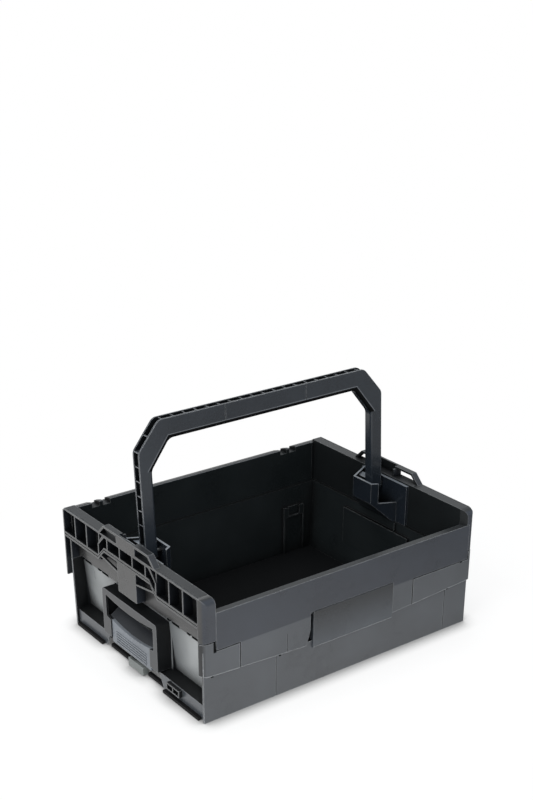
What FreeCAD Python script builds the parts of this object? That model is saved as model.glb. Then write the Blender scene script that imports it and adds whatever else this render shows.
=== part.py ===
import FreeCAD, Part
import math
import os

# Open tool caddy with a folding carry handle and a spring latch at each end.
# Millimetres. +X runs along the length, -Y is the low front, +Z is up.
# The origin is the middle of the footprint, on the floor.

Vector = FreeCAD.Vector

# Overall size
LENGTH = 442.0
DEPTH = 342.0
RIM_HEIGHT = 172.5
FRONT_RIM_HEIGHT = 150.0
BACK_RIM_HEIGHT = 170.0
EAR_HEIGHT = 186.0
HANDLE_HEIGHT = 333.0
CORNER_RADIUS = 10.0
SKIN = 3.0

# Fits between pieces
RUNNING_GAP = 0.4
STOP_GAP = 0.3
SEAT_GAP = 0.3
PIN_CLEARANCE = 0.04

# Tub
TUB_HEIGHT = 110.0
FLOOR = 3.5
TUB_FRONT_INSET = 3.4
TUB_BACK_INSET = 18.5
TUB_END_INSET = 18.0
END_DRAFT = 9.0
BACK_DRAFT = 3.5
TUB_FLANGE = 3.0
PLATE_END_INSET = 2.5
PLATE_HEIGHT = 100.0

# End strip and ledge at the foot of each end
STRIP_INSET = 5.5
LEDGE_FRONT_HEIGHT = 22.0
LEDGE_BACK_HEIGHT = 25.0
STRIP_NOTCH_TOP = 60.0
STRIP_NOTCH_BOTTOM = 72.0
STRIP_RIB = 2.0
STRIP_RIB_PITCH = 30.0

# Upper frame
END_RIM_WIDTH = 16.5
FRONT_RIM_WIDTH = 10.0
BACK_RIM_WIDTH = 16.0
FRAME_WALL_BOTTOM = 101.0
FRAME_CORNER_BOTTOM = 112.0
FRAME_INSET = 1.4
LEFT_CORNER_WRAP = 21.0
RIGHT_CORNER_WRAP = 6.0
BACK_CORNER_WRAP = 21.0
LEFT_FRONT_RADIUS = 10.0
RIGHT_FRONT_RADIUS = 3.0
LEFT_HORN_WIDTH = 21.0
RIGHT_HORN_WIDTH = 10.0
HORN_RADIUS = 11.0
DECK_SKIN = 2.2
RIM_GROOVE_WIDTH = 0.6
RIM_GROOVE_DEPTH = 0.4
BACK_GROOVE_WIDTH = 0.8
BACK_GROOVE_DEPTH = 0.8
RIM_GROOVE_INSET = 2.6
RIM_LIP_WIDTH = 4.6

# Lattice band of the end frames
LATTICE_BOTTOM = 131.0
LATTICE_BORDER = 7.0
LATTICE_STEP = 16.0
LATTICE_STEP_OUT = 72.0
LATTICE_RIB = 2.4
LATTICE_RIB_PITCH = 31.0
LATTICE_WINDOW_TOP = 170.3
MIDDLE_WINDOW_TOP = 168.8
BORDER_GROOVE = 1.3
COLUMN_HALF_WIDTH = 22.5
COLUMN_BOTTOM = 105.0
SMALL_RIB = 2.2

# Ears
EAR_HALF_TOP = 54.0
EAR_HALF_BASE = 68.0
EAR_THICKNESS = 9.0
EAR_BAR = 3.0

# Snap slots and core hole in the end walls
SLOT_START = 71.5
SLOT_END_INSET = 26.5
SLOT_GAP = 17.0
SLOT_HEIGHT = 2.4
CORE_HOLE_DIAMETER = 8.0
CORE_HOLE_FROM_FRONT = 30.0
CORE_HOLE_HEIGHT = 120.5

# Front band, its skirt and the corner covers
BAND_INSET = 1.1
COVER_INSET = 0.8
BAND_SKIN = 2.0
SEAM_HEIGHT = 99.0
SEAM_GAP = 1.0
SKIRT_CORNER_HEIGHT = 67.0
SKIRT_MIDDLE_HEIGHT = 58.5
SKIRT_MIDDLE_HALF = 70.0
SKIRT_BEVEL = 1.8
COVER_BEVEL = 2.2
SLIT_LEFT_FROM_END = 56.0
SLIT_RIGHT_FROM_END = 105.0
SLIT_WIDTH = 1.6
BAND_RIB_PITCH = 40.0
BAND_RIB = 2.4
SCORE_FROM_LEFT = 128.0
SCORE_WIDTH = 1.0
SCORE_DEPTH = 0.5
SCORE_TOP = 86.0

# Marks on the lower front wall, by their distance from an end
GROOVE_FROM_LEFT = 112.0
GROOVE_FROM_RIGHT = 43.0
GROOVE_WIDTH = 1.2
GROOVE_DEPTH = 0.6
NICKS_FROM_LEFT = [15.5, 118.0]
NICK_FROM_RIGHT = 38.0
NICK_WIDTH = 4.0
NICK_HEIGHT = 2.2
NICK_DEPTH = 1.5

# Front panel
PANEL_LEFT = -52.0
PANEL_RIGHT = 81.0
PANEL_BOTTOM = 53.0
PANEL_TOP = 104.0
PANEL_SIDE_GAP = 4.5
PANEL_SIDE_FLARE = 6.0
PANEL_POCKET_DEPTH = 6.0
PANEL_RETURN = 4.0
PANEL_INSET = 0.4
PANEL_EDGE_RADIUS = 1.0
PANEL_BEVEL = 2.2

# Back band
BACK_FLANGE_BOTTOM = 80.0
BACK_FLANGE_CHAMFER = 8.0
BACK_FALL = 4.0
BACK_NOTCH_DEPTH = 2.5
BACK_NOTCH_WIDTH = 28.5
BACK_NOTCH_LEFT_FROM_END = 41.0
BACK_NOTCH_RIGHT_FROM_END = 52.0
BACK_NOTCH_BUMP = 5.0

# Divider guides on the inside of the back wall
GUIDE_INNER = 139.0
GUIDE_OUTER = 177.0
GUIDE_HEIGHT = 80.0
GUIDE_RIB = 2.5
GUIDE_NOTCH_WIDTH = 20.0
GUIDE_NOTCH_DEPTH = 14.0

# Small rib on the inside of each end wall
WALL_RIB_Y = -39.5
WALL_RIB = 2.0
WALL_RIB_BOTTOM = 95.0
WALL_RIB_PROUD = 2.0

# Handle
HANDLE_LEG_OUTER_INSET = 25.0
HANDLE_LEG_WIDTH = 18.5
HANDLE_THICKNESS = 15.0
HANDLE_BAR_DEPTH = 27.5
HANDLE_LEAN = 3.0
HANDLE_FLANGE = 2.4
HANDLE_WEB = 4.0
HANDLE_RIB = 1.6
HANDLE_LEG_RIB_PITCH = 19.5
HANDLE_BAR_RIB_PITCH = 17.5
HANDLE_OUTER_CHAMFER_X = 31.0
HANDLE_OUTER_CHAMFER_Z = 37.0
HANDLE_INNER_CHAMFER_X = 28.0
HANDLE_INNER_CHAMFER_Z = 36.0
HANDLE_CORNER_RADIUS = 12.0
HANDLE_EDGE_RADIUS = 3.5
HANDLE_FOOT_SOLID = 14.0
HANDLE_SEAM_HALF = 65.0
HANDLE_SEAM_WIDTH = 0.7
HANDLE_SEAM_DEPTH = 0.5

# Handle pivot
PIVOT_HEIGHT = 158.5
PIVOT_Y = -1.5
PIN_DIAMETER = 8.0
PIN_SEAT = 2.0

# Pivot bracket: a corbel pocket on the inside of each end wall
BRACKET_TOP = 170.0
BRACKET_REACH = 37.5
BRACKET_WALL = 3.0
BRACKET_BACK = 19.5
BRACKET_FRONT = 19.5
BRACKET_BACK_SPREAD = 39.5
BRACKET_FRONT_SPREAD = 38.5
BRACKET_CHAMFER_X = 9.6
BRACKET_CHAMFER_Y = 5.5
BRACKET_INNER_DROP = 30.5
BRACKET_GATE_HEIGHT = 140.0
BRACKET_PAD = 4.0
BRACKET_PAD_FRONT = 56.0
BRACKET_STOP_WIDTH = 12.0

# Latch housing
LATCH_HALF_WIDTH = 67.0
LATCH_BOTTOM = 25.0
LATCH_TOP = 93.0
LATCH_POCKET_INSET = 24.0
LATCH_WALL = 3.0
LATCH_CORNER_RADIUS = 4.0
BULGE_BORDER = 3.0
FINGER_HALF_WIDTH = 58.0
FINGER_TOP = 85.0
FINGER_TOP_SAG = 5.0
FINGER_BOTTOM = 53.0
FINGER_BOTTOM_SAG = 7.0

# Latch slider, ramp, tongue and spring
LATCH_TRAVEL = 6.0
SLIDER_HALF_WIDTH = 47.7
SLIDER_BOTTOM = 18.0
SLIDER_THICKNESS = 5.0
SLIDER_FACE_INSET = 1.0
SLIDER_RIB_COUNT = 5
SLIDER_RIB_PITCH = 3.8
SLIDER_RIB_HEIGHT = 1.6
SLIDER_RIB_PROUD = 0.8
SLIDER_RIB_HALF_WIDTH = 37.0
SLIDER_RIB_START = 21.0
SLIDER_WING = 13.5
SLIDER_WING_TOP = 44.0
GUIDE_RAIL_INNER = 50.0
RAMP_HALF_WIDTH = 57.0
RAMP_THICKNESS = 2.5
RAMP_RUN = 15.8
RAMP_RISE = 10.0
TONGUE_FRONT = 28.0
TONGUE_BACK = 8.0
TONGUE_STEM_HALF = 7.0
TONGUE_TOP = 40.0
TONGUE_FOOT_TOP = 12.6
TONGUE_LIFT = 1.0
TONGUE_STEM = 4.0
SPRING_DIAMETER = 5.6
SPRING_BORE = 3.4
SPRING_SHELF_TOP = 28.0
SPRING_SHELF = 3.0
SPRING_SHELF_HALF = 6.0
CROSSBAR_BOTTOM = 42.0
CROSSBAR_TOP = 45.5
CROSSBAR_DEPTH = 6.0

# Coupling lug and base skids
LUG_NEAR = 86.0
LUG_FAR = 115.0
LUG_BOTTOM = 11.0
LUG_TOP = 21.0
LUG_WALL = 1.8
LUG_SOCKET_DEPTH = 4.0
SKID_INSET = 0.4
SKID_START = 76.0
SKID_END_INSET = 14.0
SKID_HEIGHT = 4.0
SKID_END_CLEARANCE = 3.0

# Planes that follow from the sizes above
HALF_LENGTH = LENGTH / 2
FRONT = -DEPTH / 2
BACK = DEPTH / 2
RIM_INNER_X = HALF_LENGTH - END_RIM_WIDTH
FRAME_WALL_X = RIM_INNER_X + SKIN
LATTICE_SKIN_X = HALF_LENGTH - SKIN
FRAME_FRONT_Y = FRONT + FRAME_INSET
COVER_FACE_Y = FRONT + COVER_INSET
BAND_LEFT_X = LEFT_CORNER_WRAP - HALF_LENGTH
BAND_RIGHT_X = HALF_LENGTH - RIGHT_CORNER_WRAP
BACK_WRAP_X = HALF_LENGTH - BACK_CORNER_WRAP
FRONT_INNER_Y = FRONT + FRONT_RIM_WIDTH
BACK_INNER_Y = BACK - BACK_RIM_WIDTH
TUB_END_TOP_X = HALF_LENGTH - TUB_END_INSET
TUB_END_BOTTOM_X = TUB_END_TOP_X - END_DRAFT
TUB_FRONT_Y = FRONT + TUB_FRONT_INSET
TUB_BACK_TOP_Y = BACK - TUB_BACK_INSET
TUB_BACK_BOTTOM_Y = TUB_BACK_TOP_Y - BACK_DRAFT
PLATE_END_X = HALF_LENGTH - PLATE_END_INSET
STRIP_X = HALF_LENGTH - STRIP_INSET
BAND_FACE_Y = FRONT + BAND_INSET
PANEL_FACE_Y = FRONT + PANEL_INSET
SLIT_LEFT_X = SLIT_LEFT_FROM_END - HALF_LENGTH
SLIT_RIGHT_X = HALF_LENGTH - SLIT_RIGHT_FROM_END
MIDDLE_BORDER_BOTTOM = LATTICE_BOTTOM + LATTICE_STEP
LATTICE_STEP_IN = LATTICE_STEP_OUT - LATTICE_STEP
LEG_OUTER_X = HALF_LENGTH - HANDLE_LEG_OUTER_INSET
LEG_INNER_X = LEG_OUTER_X - HANDLE_LEG_WIDTH
BRACKET_INNER_X = RIM_INNER_X - BRACKET_REACH
PIN_START_X = BRACKET_INNER_X + BRACKET_WALL - PIN_SEAT
LATCH_POCKET_X = HALF_LENGTH - LATCH_POCKET_INSET
SLIDER_BACK_X = HALF_LENGTH - SLIDER_FACE_INSET - SLIDER_THICKNESS
SLIDER_FACE_X = HALF_LENGTH - SLIDER_FACE_INSET
HANDLE_TOP = (HANDLE_HEIGHT - PIVOT_HEIGHT) / math.cos(math.radians(HANDLE_LEAN))
HANDLE_FOOT_RADIUS = HANDLE_THICKNESS / 2
EDGE = 1.0


# Basic solids

def block(x0, x1, y0, y1, z0, z1):
    return Part.makeBox(x1 - x0, y1 - y0, z1 - z0, Vector(x0, y0, z0))


def polygon_face(points):
    return Part.Face(Part.makePolygon(points + [points[0]]))


def slab_x(outline, x0, x1):
    """Solid with a (y, z) outline, between two x planes."""
    face = polygon_face([Vector(x0, y, z) for y, z in outline])
    return face.extrude(Vector(x1 - x0, 0, 0))


def slab_y(outline, y0, y1):
    """Solid with an (x, z) outline, between two y planes."""
    face = polygon_face([Vector(x, y0, z) for x, z in outline])
    return face.extrude(Vector(0, y1 - y0, 0))


def slab_z(outline, z0, z1):
    """Solid with an (x, y) outline, between two z planes."""
    face = polygon_face([Vector(x, y, z0) for x, y in outline])
    return face.extrude(Vector(0, 0, z1 - z0))


def rod_x(radius, x0, x1, y, z):
    return Part.makeCylinder(radius, x1 - x0, Vector(x0, y, z), Vector(1, 0, 0))


def join(shapes):
    if len(shapes) == 1:
        return shapes[0]
    return shapes[0].multiFuse(shapes[1:]).removeSplitter()


def mirror_x(shape):
    return shape.mirror(Vector(0, 0, 0), Vector(1, 0, 0))


def mirror_y(shape):
    return shape.mirror(Vector(0, 0, 0), Vector(0, 1, 0))


def both_ends(shape):
    return [shape, mirror_x(shape)]


def front_and_back(shape):
    return [shape, mirror_y(shape)]


def rounded_wire(corners, radii, lift):
    """Closed wire through 2-D corners, each rounded by its own radius."""
    starts = []
    arcs = []
    ends = []
    for index, corner in enumerate(corners):
        before = corners[index - 1]
        after = corners[(index + 1) % len(corners)]
        point = Vector(corner[0], corner[1], 0)
        back = (Vector(before[0], before[1], 0) - point).normalize()
        ahead = (Vector(after[0], after[1], 0) - point).normalize()
        half_angle = back.getAngle(ahead) / 2
        reach = radii[index] / math.tan(half_angle)
        middle = (back + ahead).normalize() * (radii[index] / math.sin(half_angle) - radii[index])
        starts.append(point + back * reach)
        arcs.append(point + middle)
        ends.append(point + ahead * reach)
    edges = []
    for index, radius in enumerate(radii):
        if radius > 0:
            bend = [lift(p.x, p.y) for p in (starts[index], arcs[index], ends[index])]
            edges.append(Part.Arc(*bend).toShape())
        following = starts[(index + 1) % len(starts)]
        if (following - ends[index]).Length > 1e-6:
            line = [lift(p.x, p.y) for p in (ends[index], following)]
            edges.append(Part.LineSegment(*line).toShape())
    return Part.Wire(edges)


def plan_envelope(front, left_radius, right_radius):
    """Footprint with rounded corners behind a front plane, taller than the object."""
    corners = [(-HALF_LENGTH, front), (HALF_LENGTH, front), (HALF_LENGTH, BACK), (-HALF_LENGTH, BACK)]
    radii = [left_radius, right_radius, CORNER_RADIUS, CORNER_RADIUS]
    wire = rounded_wire(corners, radii, lambda x, y: Vector(x, y, -EDGE))
    return Part.Face(wire).extrude(Vector(0, 0, EAR_HEIGHT + 2 * EDGE))


def end_wall_x(z):
    """Outer face of the drafted tub end wall at a height."""
    return TUB_END_BOTTOM_X + (TUB_END_TOP_X - TUB_END_BOTTOM_X) * z / TUB_HEIGHT


def back_wall_y(z):
    """Outer face of the drafted tub back wall at a height."""
    return TUB_BACK_BOTTOM_Y + (TUB_BACK_TOP_Y - TUB_BACK_BOTTOM_Y) * z / TUB_HEIGHT


def skirt_edge(x):
    """Height of the lower edge of the front skirt, lowest near the middle."""
    share = (abs(x) - SKIRT_MIDDLE_HALF) / (HALF_LENGTH - SKIRT_MIDDLE_HALF)
    return SKIRT_MIDDLE_HEIGHT + share * (SKIRT_CORNER_HEIGHT - SKIRT_MIDDLE_HEIGHT)


def panel_pocket_bottom():
    """Floor of the finger pocket beside the front panel."""
    return skirt_edge(SKIRT_MIDDLE_HALF) + SKIN


# Tub

def tub_prism(inset, z0, z1):
    """Drafted block of the tub, its sides moved in by an inset."""
    low = end_wall_x(z0) - inset
    high = end_wall_x(z1) - inset
    along = slab_y([(-low, z0), (low, z0), (high, z1), (-high, z1)], FRONT, BACK)
    front = TUB_FRONT_Y + inset
    across = slab_x([(front, z0), (back_wall_y(z0) - inset, z0), (back_wall_y(z1) - inset, z1), (front, z1)],
                    -HALF_LENGTH, HALF_LENGTH)
    return along.common(across)


def wall_plates():
    """Front and back walls run on past the end walls to the corners."""
    front = block(-PLATE_END_X, PLATE_END_X, TUB_FRONT_Y, TUB_FRONT_Y + SKIN, 0, PLATE_HEIGHT)
    top_y = back_wall_y(PLATE_HEIGHT)
    back = slab_x([(back_wall_y(0) - SKIN, 0), (back_wall_y(0), 0), (top_y, PLATE_HEIGHT),
                   (top_y - SKIN, PLATE_HEIGHT)], -PLATE_END_X, PLATE_END_X)
    return [front, back]


def lower_bevel(x0, z0, x1, z1, face_y, size):
    """Cutter that slants the underside of a front face back and down, along a sloped line."""
    reach = size + EDGE
    outline = [(face_y - EDGE, z0 + EDGE), (face_y + reach, z0 - reach), (face_y - EDGE, z0 - reach)]
    face = polygon_face([Vector(x0, y, z) for y, z in outline])
    return face.extrude(Vector(x1 - x0, 0, z1 - z0))


def front_marks():
    """Fine upright grooves and small nicks in the lower front wall."""
    marks = []
    y0 = TUB_FRONT_Y - EDGE
    for x in (GROOVE_FROM_LEFT - HALF_LENGTH, HALF_LENGTH - GROOVE_FROM_RIGHT):
        marks.append(block(x - GROOVE_WIDTH / 2, x + GROOVE_WIDTH / 2, y0, TUB_FRONT_Y + GROOVE_DEPTH,
                           -EDGE, skirt_edge(x) - COVER_BEVEL))
    places = [inset - HALF_LENGTH for inset in NICKS_FROM_LEFT] + [HALF_LENGTH - NICK_FROM_RIGHT]
    for x in places:
        top = skirt_edge(x) - COVER_BEVEL
        marks.append(block(x - NICK_WIDTH / 2, x + NICK_WIDTH / 2, y0, TUB_FRONT_Y + NICK_DEPTH,
                           top - NICK_HEIGHT, top))
    return marks


def wall_rib():
    """Small upright rib on the inside of the right end wall, below the pivot bracket."""
    x1 = end_wall_x(WALL_RIB_BOTTOM) - SKIN / 2
    x0 = end_wall_x(WALL_RIB_BOTTOM) - SKIN - WALL_RIB_PROUD
    return block(x0, x1, WALL_RIB_Y - WALL_RIB / 2, WALL_RIB_Y + WALL_RIB / 2, WALL_RIB_BOTTOM,
                 TUB_HEIGHT - TUB_FLANGE / 2)


def end_strip():
    """Ledge and skirt strip at the foot of the right end, notched for the latch."""
    root_x = end_wall_x(LEDGE_BACK_HEIGHT) - SKIN / 2
    y0 = TUB_FRONT_Y + SKIN / 2
    y1 = back_wall_y(0) - SKIN / 2
    ledge = slab_y([(root_x, LEDGE_BACK_HEIGHT), (STRIP_X, LEDGE_FRONT_HEIGHT),
                    (STRIP_X, LEDGE_FRONT_HEIGHT - SKIN), (root_x, LEDGE_BACK_HEIGHT - SKIN)], y0, y1)
    skin = block(STRIP_X - SKIN, STRIP_X, y0, y1, 0, LEDGE_FRONT_HEIGHT - SKIN / 2)
    ribs = []
    count = int((y1 - y0) / STRIP_RIB_PITCH)
    for index in range(1, count):
        y = y0 + (y1 - y0) * index / count
        ribs.append(block(end_wall_x(0) - SKIN / 2, STRIP_X - SKIN / 2, y - STRIP_RIB / 2, y + STRIP_RIB / 2,
                          0, LEDGE_FRONT_HEIGHT - SKIN / 2))
    top = LEDGE_BACK_HEIGHT + EDGE
    notch = slab_x([(-STRIP_NOTCH_BOTTOM, -EDGE), (STRIP_NOTCH_BOTTOM, -EDGE),
                    (STRIP_NOTCH_TOP, top), (-STRIP_NOTCH_TOP, top)],
                   end_wall_x(LEDGE_BACK_HEIGHT), HALF_LENGTH)
    return join([ledge, skin] + ribs).cut(notch)


def latch_bulge():
    """Inward step of the end wall behind the latch housing."""
    half = LATCH_HALF_WIDTH + BULGE_BORDER
    root = end_wall_x(LATCH_TOP) - SKIN / 2
    return block(LATCH_POCKET_X - SKIN, root, -half, half, FLOOR / 2, LATCH_TOP + BULGE_BORDER)


def latch_pocket():
    return block(LATCH_POCKET_X, HALF_LENGTH, -LATCH_HALF_WIDTH, LATCH_HALF_WIDTH,
                 LEDGE_BACK_HEIGHT, LATCH_TOP)


def tub_flange():
    """Shelf at the top of the tub wall that the upper frame bears on."""
    z0 = TUB_HEIGHT - TUB_FLANGE
    ends = block(TUB_END_TOP_X - SKIN / 2, RIM_INNER_X, TUB_FRONT_Y + SKIN, TUB_BACK_TOP_Y, z0, TUB_HEIGHT)
    back = block(-RIM_INNER_X, RIM_INNER_X, TUB_BACK_TOP_Y - SKIN / 2, BACK_INNER_Y, z0, TUB_HEIGHT)
    return both_ends(ends) + [back]


def cover_part(x0, x1, top, y1):
    """Piece of a corner cover between two x planes, from below the skirt's edge to a height."""
    outline = [(x0, skirt_edge(x0) - COVER_BEVEL), (x1, skirt_edge(x1) - COVER_BEVEL), (x1, top), (x0, top)]
    return slab_y(outline, COVER_FACE_Y, y1)


def cover_rim(cover, radius):
    """Outer lower edges of a corner cover: the front line, the corner and the end line."""
    reach = radius / 3 + EDGE
    edges = []
    for edge in cover.Edges:
        middle = edge.valueAt((edge.FirstParameter + edge.LastParameter) / 2)
        low = abs(middle.z - skirt_edge(middle.x) + COVER_BEVEL) < EDGE / 10
        at_front = middle.y < COVER_FACE_Y + EDGE / 10
        at_end = abs(middle.x) > HALF_LENGTH - EDGE / 10
        at_corner = middle.y < COVER_FACE_Y + reach and abs(middle.x) > HALF_LENGTH - reach
        if low and (at_front or at_end or at_corner):
            edges.append(edge)
    return edges


def corner_cover(inner_x, corner_x, wrap, radius):
    """Front corner cover out to a corner, taller where it wraps the corner post."""
    side = math.copysign(1, corner_x)
    low_top = SEAM_HEIGHT - SEAM_GAP
    high_top = FRAME_CORNER_BOTTOM - SEAM_GAP
    wrap_x = corner_x - side * (wrap - SEAM_GAP)
    post_x = corner_x - side * CORNER_RADIUS
    high_post_x = corner_x - side * min(wrap - SEAM_GAP, CORNER_RADIUS)
    pieces = [cover_part(inner_x, corner_x, low_top, TUB_FRONT_Y + SKIN / 2),
              cover_part(post_x, corner_x, low_top, FRONT_INNER_Y),
              cover_part(wrap_x, corner_x, high_top, TUB_FRONT_Y + SKIN),
              cover_part(high_post_x, corner_x, high_top, FRONT_INNER_Y)]
    cover = join(pieces).common(plan_envelope(COVER_FACE_Y, radius, radius))
    return cover.makeChamfer(COVER_BEVEL, cover_rim(cover, radius))


def divider_guide(x0, x1):
    """Two ribs on the inside of the back wall, bridged by a notched plate."""
    face = back_wall_y(0) - SKIN
    y0 = face - GUIDE_RIB
    y1 = back_wall_y(GUIDE_HEIGHT) - SKIN / 2
    frame = block(x0, x1, y0, y1, FLOOR / 2, GUIDE_HEIGHT)
    notch_z = GUIDE_HEIGHT - GUIDE_NOTCH_DEPTH
    slot = block(x0 + GUIDE_RIB, x1 - GUIDE_RIB, y0 - EDGE, face, 0, notch_z - GUIDE_RIB)
    middle = (x0 + x1) / 2
    notch = block(middle - GUIDE_NOTCH_WIDTH / 2, middle + GUIDE_NOTCH_WIDTH / 2, y0 - EDGE, face,
                  notch_z, GUIDE_HEIGHT + EDGE)
    return frame.cut(slot).cut(notch)


def tub_shell():
    walls = tub_prism(0, 0, TUB_HEIGHT).cut(tub_prism(SKIN, FLOOR, TUB_HEIGHT + EDGE))
    pieces = [walls] + wall_plates() + tub_flange()
    pieces += both_ends(end_strip()) + both_ends(latch_bulge()) + both_ends(wall_rib())
    left_x = SLIT_LEFT_X - SLIT_WIDTH / 2
    right_x = SLIT_RIGHT_X + SLIT_WIDTH / 2
    pieces.append(corner_cover(left_x, -HALF_LENGTH, LEFT_CORNER_WRAP, LEFT_FRONT_RADIUS))
    pieces.append(corner_cover(right_x, HALF_LENGTH, RIGHT_CORNER_WRAP, RIGHT_FRONT_RADIUS))
    pieces.append(divider_guide(GUIDE_INNER, GUIDE_OUTER))
    pieces.append(divider_guide(-GUIDE_OUTER, -GUIDE_INNER))
    pocket_x0 = PANEL_LEFT - PANEL_SIDE_GAP - PANEL_SIDE_FLARE
    pocket_x1 = PANEL_LEFT + 2 * SKIN
    pocket_z0 = panel_pocket_bottom()
    pieces.append(block(pocket_x0 - SKIN, pocket_x1 + SKIN, TUB_FRONT_Y + SKIN / 2,
                        TUB_FRONT_Y + PANEL_POCKET_DEPTH + SKIN, pocket_z0 - SKIN, TUB_HEIGHT))
    tub = join(pieces)
    pocket = block(pocket_x0, pocket_x1, FRONT, TUB_FRONT_Y + PANEL_POCKET_DEPTH, pocket_z0, PANEL_TOP - SKIN)
    cutters = [pocket] + front_marks() + both_ends(latch_pocket())
    return tub.cut(cutters).removeSplitter()


# Upper frame, right end

def lattice_edge(rise):
    """Stepped lower line of the lattice band over its whole width, raised by a rise."""
    low = LATTICE_BOTTOM + rise
    high = MIDDLE_BORDER_BOTTOM + rise
    return [(FRONT, low), (-LATTICE_STEP_OUT, low), (-LATTICE_STEP_IN, high),
            (LATTICE_STEP_IN, high), (LATTICE_STEP_OUT, low), (BACK, low)]


def band_between(lower, upper, x0, x1):
    """Strip between two lines that run from front to back."""
    return slab_x(lower + upper[::-1], x0, x1)


def lattice_ribs():
    """Rib places from the step out to the corner, on one side."""
    inner = LATTICE_STEP_OUT - LATTICE_RIB
    span = BACK - CORNER_RADIUS - inner
    count = max(1, round(span / LATTICE_RIB_PITCH))
    return [inner + span * index / count for index in range(count)]


def middle_ribs():
    """Rib places under the ear, on one side."""
    return [LATTICE_RIB_PITCH / 2, LATTICE_RIB_PITCH * 1.5]


def lattice_windows(x0, x1):
    """Openings in the lattice skin on the +Y side."""
    half_rib = LATTICE_RIB / 2
    low = LATTICE_BOTTOM + LATTICE_BORDER
    high = MIDDLE_BORDER_BOTTOM + LATTICE_BORDER
    top = MIDDLE_WINDOW_TOP
    ribs = lattice_ribs() + [BACK - CORNER_RADIUS + half_rib]
    kink = ribs[0]
    windows = []
    for near, far in zip(ribs[1:], ribs[2:]):
        windows.append(block(x0, x1, near + half_rib, far - half_rib, low, LATTICE_WINDOW_TOP))
    kink_top = top - LATTICE_STEP + half_rib
    rise = LATTICE_WINDOW_TOP - kink_top
    next_rib = ribs[1] - half_rib
    windows.append(slab_x([(kink + half_rib, low), (next_rib, low), (next_rib, LATTICE_WINDOW_TOP),
                           (kink - rise + 2 * LATTICE_RIB, LATTICE_WINDOW_TOP),
                           (kink + half_rib, kink_top)], x0, x1))
    last = middle_ribs()[-1]
    corner = kink - half_rib
    foot = LATTICE_STEP_OUT - corner
    windows.append(slab_x([(corner, low + foot - half_rib), (corner, kink_top),
                           (corner - top + kink_top, top), (last + half_rib, top),
                           (last + half_rib, high), (LATTICE_STEP_IN - half_rib, high)], x0, x1))
    edges = [0] + middle_ribs()
    for near, far in zip(edges, edges[1:]):
        start = near + half_rib if near else 0
        windows.append(block(x0, x1, start, far - half_rib, high, top))
    return windows


def lattice_skin():
    upper = [(FRONT, RIM_HEIGHT), (BACK, RIM_HEIGHT)]
    skin = band_between(lattice_edge(0), upper, LATTICE_SKIN_X, HALF_LENGTH)
    cutters = []
    for window in lattice_windows(LATTICE_SKIN_X - EDGE, HALF_LENGTH + EDGE):
        cutters += front_and_back(window)
    groove_low = (LATTICE_BORDER - BORDER_GROOVE) / 2
    groove = band_between(lattice_edge(groove_low), lattice_edge(groove_low + BORDER_GROOVE),
                          HALF_LENGTH - BORDER_GROOVE, HALF_LENGTH + EDGE)
    return skin.cut(cutters + [groove])


def lattice_webs():
    """Webs that tie the lattice skin to the inner wall behind each rib."""
    webs = []
    half_rib = LATTICE_RIB / 2
    for place in lattice_ribs():
        web = block(FRAME_WALL_X - SKIN / 2, LATTICE_SKIN_X + SKIN / 2, place - half_rib, place + half_rib,
                    LATTICE_BOTTOM, RIM_HEIGHT - DECK_SKIN / 2)
        webs += front_and_back(web)
    for place in middle_ribs():
        web = block(FRAME_WALL_X - SKIN / 2, LATTICE_SKIN_X + SKIN / 2, place - half_rib, place + half_rib,
                    MIDDLE_BORDER_BOTTOM, RIM_HEIGHT - DECK_SKIN / 2)
        webs += front_and_back(web)
    return webs


def frame_decks():
    """Top deck of the end rim and the stepped shelf under the lattice."""
    deck = block(RIM_INNER_X, HALF_LENGTH, FRONT_INNER_Y, BACK, RIM_HEIGHT - DECK_SKIN, RIM_HEIGHT)
    shelf = band_between(lattice_edge(0), lattice_edge(SKIN),
                         FRAME_WALL_X - SKIN / 2, LATTICE_SKIN_X + SKIN / 2)
    return [deck, shelf]


def frame_column():
    """Hollow column under the middle of the lattice, with the slanted small ribs beside it."""
    top = MIDDLE_BORDER_BOTTOM + SKIN / 2
    face = block(LATTICE_SKIN_X, HALF_LENGTH, -COLUMN_HALF_WIDTH, COLUMN_HALF_WIDTH, COLUMN_BOTTOM, top)
    side = block(FRAME_WALL_X - SKIN / 2, LATTICE_SKIN_X + SKIN / 2,
                 COLUMN_HALF_WIDTH - LATTICE_RIB, COLUMN_HALF_WIDTH, COLUMN_BOTTOM, top)
    root = COLUMN_HALF_WIDTH - LATTICE_RIB / 2
    tip = LATTICE_STEP_OUT - LATTICE_BORDER
    tip_z = LATTICE_BOTTOM + LATTICE_BORDER
    rib = slab_x([(root, LATTICE_BOTTOM), (root, LATTICE_BOTTOM + SMALL_RIB),
                  (tip - SMALL_RIB, tip_z + SMALL_RIB), (tip + SMALL_RIB / 2, tip_z)],
                 LATTICE_SKIN_X, HALF_LENGTH)
    return [face] + front_and_back(side) + front_and_back(rib)


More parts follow.
